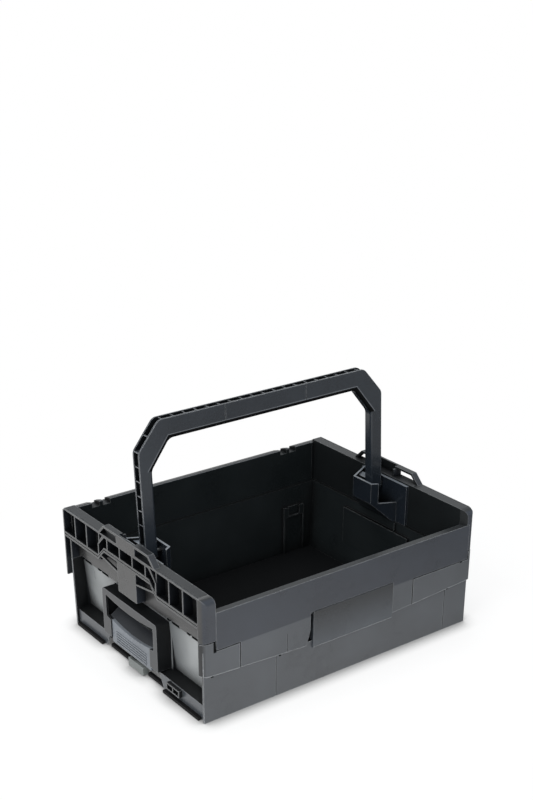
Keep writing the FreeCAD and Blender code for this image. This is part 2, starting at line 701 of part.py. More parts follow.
def frame_ear():
    """Raised ears with their windows, and the thin plate between them."""
    base = RIM_HEIGHT - DECK_SKIN / 2
    bar = EAR_BAR
    slope = (EAR_HALF_BASE - EAR_HALF_TOP) / (EAR_HEIGHT - RIM_HEIGHT)
    outline = [(COLUMN_HALF_WIDTH - bar, base), (EAR_HALF_BASE + slope * DECK_SKIN / 2, base),
               (EAR_HALF_TOP, EAR_HEIGHT), (COLUMN_HALF_WIDTH - bar, EAR_HEIGHT)]
    ear = slab_x(outline, HALF_LENGTH - EAR_THICKNESS, HALF_LENGTH)
    window_top = EAR_HEIGHT - bar
    side = bar * math.sqrt(1 + slope ** 2)
    floor_z = RIM_HEIGHT
    far_top = EAR_HALF_TOP + slope * bar - side
    far_low = far_top + slope * (window_top - floor_z)
    window = slab_x([(COLUMN_HALF_WIDTH, floor_z), (far_low, floor_z), (far_top, window_top),
                     (COLUMN_HALF_WIDTH, window_top)], RIM_INNER_X, HALF_LENGTH + EDGE)
    tab = block(FRAME_WALL_X, HALF_LENGTH - EAR_THICKNESS + EDGE, COLUMN_HALF_WIDTH - bar, COLUMN_HALF_WIDTH,
                base, EAR_HEIGHT - bar)
    plate = block(LATTICE_SKIN_X, HALF_LENGTH, -COLUMN_HALF_WIDTH, COLUMN_HALF_WIDTH, base, EAR_HEIGHT)
    return front_and_back(ear.cut(window)) + front_and_back(tab) + [plate]


def front_corner(wrap, horn_width):
    """Corner post, horn and the short return towards the front band."""
    y0 = FRAME_FRONT_Y
    y1 = FRONT_INNER_Y
    start = HALF_LENGTH - wrap
    post_x = max(start, HALF_LENGTH - CORNER_RADIUS)
    post = block(post_x, HALF_LENGTH, y0, y1, FRAME_CORNER_BOTTOM, RIM_HEIGHT)
    horn = slab_z([(RIM_INNER_X, y1), (HALF_LENGTH - horn_width, y0), (HALF_LENGTH, y0), (HALF_LENGTH, y1)],
                  FRONT_RIM_HEIGHT, RIM_HEIGHT)
    face = block(start, HALF_LENGTH, y0, y0 + SKIN, FRAME_CORNER_BOTTOM, FRONT_RIM_HEIGHT)
    top = block(start, HALF_LENGTH, y0, y1, FRONT_RIM_HEIGHT - SKIN, FRONT_RIM_HEIGHT)
    pieces = [post, horn, face, top]
    if start < FRAME_WALL_X:
        pieces.append(block(start, FRAME_WALL_X, y1 - SKIN, y1, FRAME_CORNER_BOTTOM, FRONT_RIM_HEIGHT))
    return pieces


def front_band_room(wrap):
    """Cutter that keeps the end frame out of the place of the front band."""
    return block(BRACKET_INNER_X, HALF_LENGTH - wrap, FRONT, FRONT_INNER_Y, 0, FRONT_RIM_HEIGHT)


def back_plate():
    """Carries the tub's back plate on up to the shelf of the lattice."""
    y1 = back_wall_y(PLATE_HEIGHT)
    return block(FRAME_WALL_X - SKIN / 2, PLATE_END_X, y1 - SKIN, y1, PLATE_HEIGHT + SEAT_GAP,
                 LATTICE_BOTTOM + SKIN / 2)


def back_outline():
    """Outer skin, deck and flange of the back rim, as a (y, z) outline that opens inwards."""
    chamfer = BACK_FLANGE_CHAMFER
    bottom = BACK_FLANGE_BOTTOM - chamfer
    lip = back_wall_y(bottom) + SEAT_GAP
    inner_face = BACK - SKIN
    slant = SKIN * math.tan(math.pi / 8)
    top = BACK_RIM_HEIGHT
    ceiling = top - BACK_FALL - 2 * SKIN
    return [(lip, bottom), (BACK - chamfer, bottom), (BACK, BACK_FLANGE_BOTTOM), (BACK, top - BACK_FALL),
            (BACK_INNER_Y + RIM_LIP_WIDTH, top), (BACK_INNER_Y, top), (BACK_INNER_Y, FRAME_WALL_BOTTOM),
            (BACK_INNER_Y + SKIN, FRAME_WALL_BOTTOM), (BACK_INNER_Y + SKIN, ceiling),
            (inner_face, ceiling), (inner_face, BACK_FLANGE_BOTTOM + slant),
            (BACK - chamfer - slant, bottom + SKIN), (lip, bottom + SKIN)]


def back_corner():
    """Return of the back band round the corner, with a solid corner post."""
    post_y = BACK - CORNER_RADIUS
    bottom = BACK_FLANGE_BOTTOM - BACK_FLANGE_CHAMFER
    post = slab_x([(post_y, bottom), (BACK - BACK_FLANGE_CHAMFER, bottom), (BACK, BACK_FLANGE_BOTTOM),
                   (BACK, BACK_RIM_HEIGHT), (post_y, BACK_RIM_HEIGHT)],
                  HALF_LENGTH - CORNER_RADIUS, HALF_LENGTH)
    wrap = slab_x(back_outline(), BACK_WRAP_X, HALF_LENGTH - CORNER_RADIUS + EDGE)
    return [post, wrap]


def back_slope():
    """Cutter that lets the top of the back corner fall away like the back band."""
    start = BACK_INNER_Y + RIM_LIP_WIDTH
    top = RIM_HEIGHT + EDGE
    return slab_x([(start, BACK_RIM_HEIGHT), (BACK, BACK_RIM_HEIGHT - BACK_FALL), (BACK, top), (start, top)],
                  0, HALF_LENGTH + EDGE)


def snap_slots():
    """Notches along the lower edge of the end wall where the two mouldings snap together."""
    end = BACK - SLOT_END_INSET
    length = (end - SLOT_START - SLOT_GAP) / 2
    slots = []
    for start in (SLOT_START, end - length):
        slot = block(RIM_INNER_X - EDGE, FRAME_WALL_X + EDGE, start, start + length,
                     FRAME_WALL_BOTTOM - EDGE, FRAME_WALL_BOTTOM + SLOT_HEIGHT)
        slots += front_and_back(slot)
    return slots


def rim_grooves():
    """Fine groove along the top of the end rim, near its outer edge."""
    x = HALF_LENGTH - RIM_GROOVE_INSET
    groove = block(x - RIM_GROOVE_WIDTH / 2, x + RIM_GROOVE_WIDTH / 2, EAR_HALF_BASE + SKIN,
                   BACK - CORNER_RADIUS, RIM_HEIGHT - RIM_GROOVE_DEPTH, RIM_HEIGHT + EDGE)
    return front_and_back(groove)


def horn_round(horn_width):
    """Cutter that rounds the front top corner of the horn."""
    y = FRAME_FRONT_Y + HORN_RADIUS
    z = RIM_HEIGHT - HORN_RADIUS
    x0 = HALF_LENGTH - max(horn_width, END_RIM_WIDTH) - EDGE
    corner = block(x0, HALF_LENGTH + EDGE, FRONT - EDGE, y, z, RIM_HEIGHT + EDGE)
    return corner.cut(rod_x(HORN_RADIUS, x0 - EDGE, HALF_LENGTH + 2 * EDGE, y, z))


def end_frame(wrap, horn_width, radius):
    """Upper frame of the right end, with its own wrap, horn and corner radius at the front."""
    wall = block(RIM_INNER_X, FRAME_WALL_X, FRONT_INNER_Y, BACK_INNER_Y, FRAME_WALL_BOTTOM, RIM_HEIGHT)
    pieces = [wall, lattice_skin()] + lattice_webs() + frame_decks() + frame_column()
    pieces += frame_ear() + front_corner(wrap, horn_width) + back_corner() + [back_plate()]
    frame = join(pieces).common(plan_envelope(FRAME_FRONT_Y, radius, radius))
    hole = rod_x(CORE_HOLE_DIAMETER / 2, RIM_INNER_X - EDGE, FRAME_WALL_X + EDGE,
                 FRONT + CORE_HOLE_FROM_FRONT, CORE_HOLE_HEIGHT)
    cutters = snap_slots() + rim_grooves()
    cutters += [horn_round(horn_width), back_slope(), front_band_room(wrap), hole]
    return frame.cut(cutters).removeSplitter()


# Front and back bands


def band_ribs(x0, x1, y0, y1, z0, z1):
    """Stiffening ribs inside a rim channel, evenly spaced along the length."""
    count = round((x1 - x0) / BAND_RIB_PITCH)
    places = [x0 + (x1 - x0) * (index + 0.5) / count for index in range(count)]
    return [block(x - BAND_RIB / 2, x + BAND_RIB / 2, y0, y1, z0, z1) for x in places]


def score_line():
    """Cutter for the fine line in the left part of the skirt."""
    x = SCORE_FROM_LEFT - HALF_LENGTH
    return block(x - SCORE_WIDTH / 2, x + SCORE_WIDTH / 2, FRONT, BAND_FACE_Y + SCORE_DEPTH, 0, SCORE_TOP)


def skirt(outline, x0, x1):
    """Hanging part of the front band with a slanted underside between two x planes."""
    slab = slab_y(outline, BAND_FACE_Y, BAND_FACE_Y + BAND_SKIN)
    low = [(x0, skirt_edge(x0)), (x1, skirt_edge(x1)), (x1, skirt_edge(x1) - SKIRT_BEVEL),
           (x0, skirt_edge(x0) - SKIRT_BEVEL)]
    lip = slab_y(low, BAND_FACE_Y, BAND_FACE_Y + BAND_SKIN)
    bevel = lower_bevel(x0, skirt_edge(x0), x1, skirt_edge(x1), BAND_FACE_Y, SKIRT_BEVEL)
    return join([slab, lip]).cut(bevel)


def front_band():
    skin_y = BAND_FACE_Y + BAND_SKIN
    start = BAND_LEFT_X
    end = BAND_RIGHT_X
    face = block(start, end, BAND_FACE_Y, skin_y, SEAM_HEIGHT, FRONT_RIM_HEIGHT)
    top = block(start, end, BAND_FACE_Y, FRONT_INNER_Y, FRONT_RIM_HEIGHT - SKIN, FRONT_RIM_HEIGHT)
    inner = block(start, end, FRONT_INNER_Y - SKIN, FRONT_INNER_Y, TUB_HEIGHT, FRONT_RIM_HEIGHT)
    x0 = SLIT_LEFT_X + SLIT_WIDTH / 2
    x1 = SLIT_RIGHT_X - SLIT_WIDTH / 2
    skirt_top = SEAM_HEIGHT + EDGE
    left_edge = PANEL_LEFT - PANEL_SIDE_GAP
    right_edge = PANEL_RIGHT + SEAT_GAP
    flare_x = left_edge - PANEL_SIDE_FLARE
    flare_z = (skirt_edge(flare_x) + SEAM_HEIGHT) / 2
    left = skirt([(x0, skirt_edge(x0)), (flare_x, skirt_edge(flare_x)), (left_edge, flare_z),
                  (left_edge, skirt_top), (x0, skirt_top)], x0, flare_x)
    right = skirt([(right_edge, skirt_edge(right_edge)), (x1, skirt_edge(x1)), (x1, skirt_top),
                   (right_edge, skirt_top)], right_edge, x1)
    ribs = band_ribs(start, end, skin_y - BAND_SKIN / 2, FRONT_INNER_Y - SKIN / 2, TUB_HEIGHT,
                     FRONT_RIM_HEIGHT - SKIN / 2)
    panel_gap = block(left_edge, right_edge, FRONT, skin_y + SEAT_GAP, SEAM_HEIGHT - EDGE,
                      PANEL_TOP + SEAT_GAP)
    return join([face, top, inner, left, right] + ribs).cut([panel_gap, score_line()])


def back_notch(x0):
    """Shallow notch across the back rim with a bump in the middle."""
    y0 = BACK_INNER_Y - EDGE
    z0 = BACK_RIM_HEIGHT - BACK_FALL - BACK_NOTCH_DEPTH
    z1 = BACK_RIM_HEIGHT + EDGE
    middle = x0 + BACK_NOTCH_WIDTH / 2
    near = block(x0, middle - BACK_NOTCH_BUMP / 2, y0, BACK + EDGE, z0, z1)
    far = block(middle + BACK_NOTCH_BUMP / 2, x0 + BACK_NOTCH_WIDTH, y0, BACK + EDGE, z0, z1)
    return [near, far]


def back_band():
    end = BACK_WRAP_X
    channel = slab_x(back_outline(), -end, end)
    ceiling = BACK_RIM_HEIGHT - BACK_FALL - 2 * SKIN
    ribs = band_ribs(-end, end, BACK_INNER_Y + SKIN / 2, BACK - SKIN / 2, TUB_HEIGHT, ceiling + EDGE)
    notches = back_notch(BACK_NOTCH_LEFT_FROM_END - HALF_LENGTH)
    notches += back_notch(HALF_LENGTH - BACK_NOTCH_RIGHT_FROM_END - BACK_NOTCH_WIDTH)
    y = BACK_INNER_Y + RIM_LIP_WIDTH
    groove = block(-end, end, y - BACK_GROOVE_WIDTH / 2, y + BACK_GROOVE_WIDTH / 2,
                   BACK_RIM_HEIGHT - BACK_GROOVE_DEPTH, BACK_RIM_HEIGHT + EDGE)
    return join([channel] + ribs).cut(notches + [groove])


def front_panel():
    """Plain plate with rounded edges, a slanted underside and a short return into the pocket."""
    plate = block(PANEL_LEFT, PANEL_RIGHT, PANEL_FACE_Y, TUB_FRONT_Y, PANEL_BOTTOM - PANEL_BEVEL, PANEL_TOP)
    rounded = []
    for edge in plate.Edges:
        centre = edge.CenterOfMass
        if abs(centre.y - PANEL_FACE_Y) < EDGE / 10 and centre.z > PANEL_BOTTOM:
            rounded.append(edge)
    plate = plate.makeFillet(PANEL_EDGE_RADIUS, rounded)
    bevel = lower_bevel(PANEL_LEFT, PANEL_BOTTOM, PANEL_RIGHT, PANEL_BOTTOM, PANEL_FACE_Y, PANEL_BEVEL)
    side = block(PANEL_LEFT, PANEL_LEFT + SKIN, TUB_FRONT_Y - SKIN / 2, TUB_FRONT_Y + PANEL_RETURN,
                 panel_pocket_bottom() + SEAT_GAP, PANEL_TOP - SKIN - SEAT_GAP)
    return join([plate.cut(bevel), side])


# Handle, drawn upright about its pivot and then leaned back


def arch_outline(half):
    return half + [(-x, z) for x, z in half[::-1]]


def arch_solid(half, radius, y0, y1):
    corners = arch_outline(half)
    radii = [0] + [radius] * 4 + [0]
    wire = rounded_wire(corners, radii, lambda x, z: Vector(x, y0, z))
    return Part.Face(wire).extrude(Vector(0, y1 - y0, 0))


def outer_half(inset):
    """Outer arch line, moved in by an inset."""
    bend = math.atan2(HANDLE_OUTER_CHAMFER_X, HANDLE_OUTER_CHAMFER_Z)
    kink_shift = inset * math.tan(bend / 2)
    top_shift = inset * math.tan((math.pi / 2 - bend) / 2)
    x_top = LEG_OUTER_X - HANDLE_OUTER_CHAMFER_X - top_shift
    z_kink = HANDLE_TOP - HANDLE_OUTER_CHAMFER_Z - kink_shift
    return [(LEG_OUTER_X - inset, -HANDLE_FOOT_RADIUS), (LEG_OUTER_X - inset, z_kink),
            (x_top, HANDLE_TOP - inset)]


def inner_half(outset):
    """Inner arch line, moved out by an outset."""
    bend = math.atan2(HANDLE_INNER_CHAMFER_X, HANDLE_INNER_CHAMFER_Z)
    kink_shift = outset * math.tan(bend / 2)
    top_shift = outset * math.tan((math.pi / 2 - bend) / 2)
    z_top = HANDLE_TOP - HANDLE_BAR_DEPTH
    return [(LEG_INNER_X + outset, -HANDLE_FOOT_RADIUS),
            (LEG_INNER_X + outset, z_top - HANDLE_INNER_CHAMFER_Z + kink_shift),
            (LEG_INNER_X - HANDLE_INNER_CHAMFER_X + top_shift, z_top + outset)]


def handle_body():
    half = HANDLE_THICKNESS / 2
    body = arch_solid(outer_half(0), HANDLE_CORNER_RADIUS, -half, half)
    opening = arch_solid(inner_half(0), HANDLE_CORNER_RADIUS, -half, half)
    lower = block(-LEG_INNER_X, LEG_INNER_X, -half, half, -HANDLE_FOOT_RADIUS - EDGE, 0)
    body = body.cut([opening, lower])
    inner_edges = []
    for edge in body.Edges:
        centre = edge.CenterOfMass
        on_face = abs(abs(centre.y) - half) < 1e-6
        inside = abs(centre.x) < LEG_INNER_X + EDGE and centre.z < HANDLE_TOP - HANDLE_BAR_DEPTH + EDGE
        if on_face and inside and centre.z > 0 and edge.Length > EDGE:
            inner_edges.append(edge)
    return body.makeFillet(HANDLE_EDGE_RADIUS, inner_edges)


def handle_channel():
    """Hollow of the channel section, open all along the outside of the arch."""
    half = HANDLE_THICKNESS / 2 - HANDLE_FLANGE
    hollow = arch_solid(outer_half(-EDGE), HANDLE_CORNER_RADIUS, -half, half)
    web = arch_solid(inner_half(HANDLE_WEB), HANDLE_CORNER_RADIUS, -half - EDGE, half + EDGE)
    foot = block(-HALF_LENGTH, HALF_LENGTH, -half - EDGE, half + EDGE,
                 -2 * HANDLE_FOOT_RADIUS, HANDLE_FOOT_SOLID)
    return hollow.cut([web, foot])


def handle_ribs():
    """Cross ribs that stiffen the channel along the legs, the chamfers and the bar."""
    half = HANDLE_THICKNESS / 2 - HANDLE_FLANGE / 2
    thick = HANDLE_RIB / 2
    kink_z = HANDLE_TOP - HANDLE_OUTER_CHAMFER_Z
    ribs = []
    leg_count = int((kink_z - HANDLE_FOOT_SOLID) / HANDLE_LEG_RIB_PITCH)
    for index in range(leg_count):
        z = kink_z - index * HANDLE_LEG_RIB_PITCH
        rib = block(LEG_INNER_X + HANDLE_WEB / 2, LEG_OUTER_X - HANDLE_RIB / 2, -half, half,
                    z - thick, z + thick)
        ribs += both_ends(rib)
    bar_half = LEG_OUTER_X - HANDLE_OUTER_CHAMFER_X
    bar_count = 2 * int(bar_half / HANDLE_BAR_RIB_PITCH)
    for index in range(bar_count + 1):
        x = (index - bar_count / 2) * HANDLE_BAR_RIB_PITCH
        ribs.append(block(x - thick, x + thick, -half, half, HANDLE_TOP - HANDLE_BAR_DEPTH + HANDLE_WEB / 2,
                          HANDLE_TOP - HANDLE_RIB / 2))
    slant = math.atan2(HANDLE_OUTER_CHAMFER_X, HANDLE_OUTER_CHAMFER_Z)
    middle = Vector(LEG_OUTER_X - HANDLE_OUTER_CHAMFER_X / 2, 0, HANDLE_TOP - HANDLE_OUTER_CHAMFER_Z / 2)
    rib = block(-HANDLE_LEG_WIDTH, -HANDLE_RIB / 2, -half, half, -thick, thick)
    rib.rotate(Vector(0, 0, 0), Vector(0, 1, 0), -math.degrees(slant))
    rib.translate(middle)
    return ribs + both_ends(rib)


def leaned(shape):
    """Move from the handle's own frame to the rest pose on its rear stop."""
    shape.translate(Vector(0, PIVOT_Y, PIVOT_HEIGHT))
    shape.rotate(Vector(0, PIVOT_Y, PIVOT_HEIGHT), Vector(1, 0, 0), -HANDLE_LEAN)
    return shape


def handle_frame():
    half = HANDLE_THICKNESS / 2
    body = handle_body().cut(handle_channel())
    ribs = [rib.cut(arch_solid(inner_half(0), HANDLE_CORNER_RADIUS, -half, half)) for rib in handle_ribs()]
    body = join([body] + ribs)
    cutters = []
    for x in (-HANDLE_SEAM_HALF, HANDLE_SEAM_HALF):
        cutters.append(block(x - HANDLE_SEAM_WIDTH / 2, x + HANDLE_SEAM_WIDTH / 2, -half - EDGE,
                             -half + HANDLE_SEAM_DEPTH, HANDLE_TOP - HANDLE_BAR_DEPTH, HANDLE_TOP))
    bore = rod_x(PIN_DIAMETER / 2 + PIN_CLEARANCE, LEG_INNER_X - EDGE, LEG_OUTER_X + EDGE, 0, 0)
    foot = block(LEG_INNER_X - EDGE, LEG_OUTER_X + EDGE, -half - EDGE, half + EDGE, -half - EDGE, 0)
    foot = foot.cut(rod_x(HANDLE_FOOT_RADIUS, LEG_INNER_X - 2 * EDGE, LEG_OUTER_X + 2 * EDGE, 0, 0))
    cutters += both_ends(bore) + both_ends(foot)
    return leaned(body.cut(cutters))


# Pivot bracket and pin, right end

def bracket_plan(inset):
    """Plan outline of the corbel pocket, its walls moved in by an inset."""
    x_in = BRACKET_INNER_X + inset
    back = PIVOT_Y + BRACKET_BACK - inset / 2
    front = PIVOT_Y - BRACKET_FRONT + inset / 2
    return [(RIM_INNER_X, PIVOT_Y + BRACKET_BACK_SPREAD - inset), (x_in, back), (x_in, front),
            (x_in + BRACKET_CHAMFER_X, front - BRACKET_CHAMFER_Y),
            (RIM_INNER_X, PIVOT_Y - BRACKET_FRONT_SPREAD + inset)]


def bracket_below(inset, z_top):
    """Everything above the sloped underside of the corbel, as a (x, z) slab."""
    low_z = TUB_HEIGHT + SEAT_GAP + inset
    corner_z = BRACKET_TOP - BRACKET_INNER_DROP + inset
    run = corner_z - low_z
    x_in = BRACKET_INNER_X
    outline = [(x_in, corner_z), (x_in + run, low_z), (RIM_INNER_X, low_z), (RIM_INNER_X, z_top),
               (x_in, z_top)]
    return slab_y(outline, FRONT, BACK)


def pivot_bracket():
    outer = slab_z(bracket_plan(0), TUB_HEIGHT, BRACKET_TOP).common(bracket_below(0, BRACKET_TOP))
    inner = slab_z(bracket_plan(BRACKET_WALL), TUB_HEIGHT, BRACKET_TOP + EDGE)
    inner = inner.common(bracket_below(BRACKET_WALL, BRACKET_TOP + EDGE))
    gate_x = BRACKET_INNER_X + BRACKET_CHAMFER_X
    gate = block(gate_x, RIM_INNER_X, FRONT, PIVOT_Y - BRACKET_FRONT + BRACKET_WALL,
                 BRACKET_GATE_HEIGHT, BRACKET_TOP + EDGE)
    pad = block(RIM_INNER_X - BRACKET_PAD, RIM_INNER_X, PIVOT_Y - BRACKET_PAD_FRONT,
                PIVOT_Y + BRACKET_BACK_SPREAD, TUB_HEIGHT + SEAT_GAP, BRACKET_TOP)
    stop_y = PIVOT_Y + HANDLE_THICKNESS / 2 / math.cos(math.radians(HANDLE_LEAN)) + STOP_GAP
    stop_y += (BRACKET_TOP - PIVOT_HEIGHT) * math.tan(math.radians(HANDLE_LEAN))
    middle = (LEG_INNER_X + LEG_OUTER_X) / 2
    stop = block(middle - BRACKET_STOP_WIDTH / 2, middle + BRACKET_STOP_WIDTH / 2, stop_y, BACK,
                 PIVOT_HEIGHT, BRACKET_TOP - SKIN)
    stop = stop.common(slab_z(bracket_plan(BRACKET_WALL / 2), 0, BRACKET_TOP))
    bracket = join([outer.cut([inner, gate]), pad, stop])
    seat = rod_x(PIN_DIAMETER / 2 + PIN_CLEARANCE, PIN_START_X, RIM_INNER_X + EDGE, PIVOT_Y, PIVOT_HEIGHT)
    return bracket.cut(seat)


def pivot_pin():
    return rod_x(PIN_DIAMETER / 2, PIN_START_X, RIM_INNER_X, PIVOT_Y, PIVOT_HEIGHT)


# Latch, right end

def finger_arc(z, sag, half, x):
    """Arc edge across the grip opening, lower in the middle by its sag."""
    points = [Vector(x, -half, z), Vector(x, 0, z - sag), Vector(x, half, z)]
    return Part.Arc(*points)


def finger_opening():
    x0 = HALF_LENGTH - 2 * LATCH_WALL
    top = finger_arc(FINGER_TOP, FINGER_TOP_SAG, FINGER_HALF_WIDTH, x0).toShape()
    low = finger_arc(FINGER_BOTTOM, FINGER_BOTTOM_SAG, FINGER_HALF_WIDTH, x0).toShape()
    sides = [Part.LineSegment(Vector(x0, y, FINGER_BOTTOM), Vector(x0, y, FINGER_TOP)).toShape()
             for y in (-FINGER_HALF_WIDTH, FINGER_HALF_WIDTH)]
    wire = Part.Wire(Part.sortEdges([top, low] + sides)[0])
    return Part.Face(wire).extrude(Vector(4 * LATCH_WALL, 0, 0))


def latch_housing():
    half = LATCH_HALF_WIDTH - SEAT_GAP
    top = LATCH_TOP - SEAT_GAP
    corners = [(-half, LATCH_BOTTOM), (half, LATCH_BOTTOM), (half, top), (-half, top)]
    radii = [0, 0, LATCH_CORNER_RADIUS, LATCH_CORNER_RADIUS]
    wire = rounded_wire(corners, radii, lambda y, z: Vector(LATCH_POCKET_X, y, z))
    shell = Part.Face(wire).extrude(Vector(HALF_LENGTH - LATCH_POCKET_X, 0, 0))
    inner_half = half - LATCH_WALL
    hollow = block(LATCH_POCKET_X - EDGE, HALF_LENGTH - LATCH_WALL, -inner_half, inner_half,
                   LATCH_BOTTOM - EDGE, top - LATCH_WALL)
    slot_half = SLIDER_HALF_WIDTH + RUNNING_GAP
    slot = block(HALF_LENGTH - 2 * LATCH_WALL, HALF_LENGTH + EDGE, -slot_half, slot_half,
                 LATCH_BOTTOM - EDGE, FINGER_BOTTOM)
    shell = shell.cut([hollow, slot, finger_opening()])
    back_x = SLIDER_BACK_X - TONGUE_STEM
    rail = block(back_x - SKIN / 2, SLIDER_BACK_X - SKIN / 2 - RUNNING_GAP,
                 GUIDE_RAIL_INNER, inner_half + EDGE, LATCH_BOTTOM, SLIDER_WING_TOP)
    lip = block(back_x - SKIN / 2, HALF_LENGTH - LATCH_WALL + EDGE, slot_half, inner_half + EDGE,
                LATCH_BOTTOM, LATCH_BOTTOM + LATCH_WALL - EDGE)
    stop_z = SLIDER_WING_TOP + LATCH_TRAVEL + STOP_GAP
    stop = block(back_x + SKIN, HALF_LENGTH - LATCH_WALL + EDGE, RAMP_HALF_WIDTH + EDGE, inner_half + EDGE,
                 stop_z, stop_z + LATCH_WALL - EDGE)
    bar_x = LATCH_POCKET_X + CROSSBAR_DEPTH
    bar = block(bar_x, bar_x + CROSSBAR_DEPTH, -inner_half - EDGE, inner_half + EDGE,
                CROSSBAR_BOTTOM, CROSSBAR_TOP)
    return join([shell, bar] + front_and_back(rail) + front_and_back(lip) + front_and_back(stop))


def latch_slider():
    plate = block(SLIDER_BACK_X, SLIDER_FACE_X - SLIDER_RIB_PROUD, -SLIDER_HALF_WIDTH, SLIDER_HALF_WIDTH,
                  SLIDER_BOTTOM, FINGER_TOP - FINGER_TOP_SAG)
    pieces = [plate.cut(finger_opening())]
    for index in range(SLIDER_RIB_COUNT):
        z = SLIDER_RIB_START + index * SLIDER_RIB_PITCH
        pieces.append(block(SLIDER_BACK_X, SLIDER_FACE_X, -SLIDER_RIB_HALF_WIDTH, SLIDER_RIB_HALF_WIDTH,
                            z, z + SLIDER_RIB_HEIGHT))
    wing_front = HALF_LENGTH - LATCH_WALL - RUNNING_GAP
    wing = block(SLIDER_BACK_X - SKIN / 2, wing_front,
                 SLIDER_HALF_WIDTH - SKIN, SLIDER_HALF_WIDTH + SLIDER_WING,
                 LATCH_BOTTOM + LATCH_WALL - EDGE + STOP_GAP, SLIDER_WING_TOP)
    return join(pieces + front_and_back(wing))


def latch_ramp():
    upper = finger_arc(FINGER_BOTTOM, FINGER_BOTTOM_SAG, FINGER_HALF_WIDTH, SLIDER_BACK_X)
    low = finger_arc(FINGER_BOTTOM - RAMP_THICKNESS, FINGER_BOTTOM_SAG, FINGER_HALF_WIDTH, SLIDER_BACK_X)
    limits = (upper.FirstParameter, upper.LastParameter)
    ends = [Part.LineSegment(low.value(at), upper.value(at)).toShape() for at in limits]
    face = Part.Face(Part.Wire(Part.sortEdges([upper.toShape(), low.toShape()] + ends)[0]))
    ramp = face.extrude(Vector(-RAMP_RUN, 0, RAMP_RISE))
    return ramp.common(block(0, HALF_LENGTH, -RAMP_HALF_WIDTH, RAMP_HALF_WIDTH, 0, RIM_HEIGHT))


def latch_tongue():
    back_x = SLIDER_BACK_X - TONGUE_STEM
    stem = block(back_x, SLIDER_BACK_X, -TONGUE_STEM_HALF, TONGUE_STEM_HALF, TONGUE_LIFT + SKIN, TONGUE_TOP)
    foot = block(back_x, SLIDER_FACE_X, -TONGUE_FRONT, TONGUE_BACK, TONGUE_LIFT, TONGUE_FOOT_TOP)
    shelf = block(LATCH_POCKET_X + CROSSBAR_DEPTH, back_x, -SPRING_SHELF_HALF, SPRING_SHELF_HALF,
                  SPRING_SHELF_TOP - SPRING_SHELF, SPRING_SHELF_TOP)
    return join([stem, foot, shelf])


def latch_spring():
    x = LATCH_POCKET_X + 1.5 * CROSSBAR_DEPTH
    z0 = SPRING_SHELF_TOP + STOP_GAP
    height = CROSSBAR_BOTTOM - STOP_GAP - z0
    coil = Part.makeCylinder(SPRING_DIAMETER / 2, height, Vector(x, 0, z0))
    return coil.cut(Part.makeCylinder(SPRING_BORE / 2, height, Vector(x, 0, z0)))


# Small outer pieces, right end

def coupling_lug():
    lug = block(STRIP_X, HALF_LENGTH, -LUG_FAR, -LUG_NEAR, LUG_BOTTOM, LUG_TOP)
    width = (LUG_FAR - LUG_NEAR - 3 * LUG_WALL) / 2
    sockets = []
    for index in range(2):
        y = -LUG_FAR + LUG_WALL + index * (width + LUG_WALL)
        sockets.append(block(HALF_LENGTH - LUG_SOCKET_DEPTH, HALF_LENGTH + EDGE, y, y + width,
                             LUG_BOTTOM + LUG_WALL, LUG_TOP - LUG_WALL))
    return lug.cut(sockets)


def base_skids():
    back_end = back_wall_y(0) - SKIN - SKID_END_CLEARANCE
    outer_x = HALF_LENGTH - SKID_INSET
    front = block(STRIP_X, outer_x, FRONT + SKID_END_INSET, -SKID_START, 0, SKID_HEIGHT)
    back = block(STRIP_X, outer_x, SKID_START, back_end, 0, SKID_HEIGHT)
    return Part.makeCompound([front, back])


def save(name, shape):
    shape.exportStep("parts/" + name + ".step")


def main():
    os.makedirs("parts", exist_ok=True)
    save("tub_shell", tub_shell())
    save("front_band", front_band())
    save("back_band", back_band())
    save("front_panel", front_panel())
    save("handle_frame", handle_frame())
    save("right_end_frame", end_frame(RIGHT_CORNER_WRAP, RIGHT_HORN_WIDTH, RIGHT_FRONT_RADIUS))
    save("left_end_frame", mirror_x(end_frame(LEFT_CORNER_WRAP, LEFT_HORN_WIDTH, LEFT_FRONT_RADIUS)))
    end_pieces = {
        "pivot_bracket": pivot_bracket(),
        "pivot_pin": pivot_pin(),
        "latch_housing": latch_housing(),
        "latch_slider": latch_slider(),
        "latch_ramp": latch_ramp(),
        "latch_tongue": latch_tongue(),
        "latch_spring": latch_spring(),
        "coupling_lug": coupling_lug(),
        "base_skids": base_skids(),
    }
    for name, shape in end_pieces.items():
        save("right_" + name, shape)
        save("left_" + name, mirror_x(shape))


main()
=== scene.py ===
import bpy
import math
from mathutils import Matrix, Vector


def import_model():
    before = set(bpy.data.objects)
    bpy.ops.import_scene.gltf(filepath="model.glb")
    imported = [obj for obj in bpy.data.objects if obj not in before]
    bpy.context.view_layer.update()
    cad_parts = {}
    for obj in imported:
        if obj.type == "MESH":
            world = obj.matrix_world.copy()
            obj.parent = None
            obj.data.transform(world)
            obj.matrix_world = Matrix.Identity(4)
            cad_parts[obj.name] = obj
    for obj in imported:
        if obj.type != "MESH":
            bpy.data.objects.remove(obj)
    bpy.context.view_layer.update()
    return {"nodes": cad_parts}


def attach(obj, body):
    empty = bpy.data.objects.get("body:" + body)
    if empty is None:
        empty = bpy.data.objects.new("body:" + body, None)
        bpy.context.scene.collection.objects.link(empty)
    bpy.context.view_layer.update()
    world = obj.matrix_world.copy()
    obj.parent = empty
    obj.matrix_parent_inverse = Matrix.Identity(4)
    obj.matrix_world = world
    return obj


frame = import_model()

# Order of the parts of a place or a direction
ACROSS, ALONG, UP = 0, 1, 2

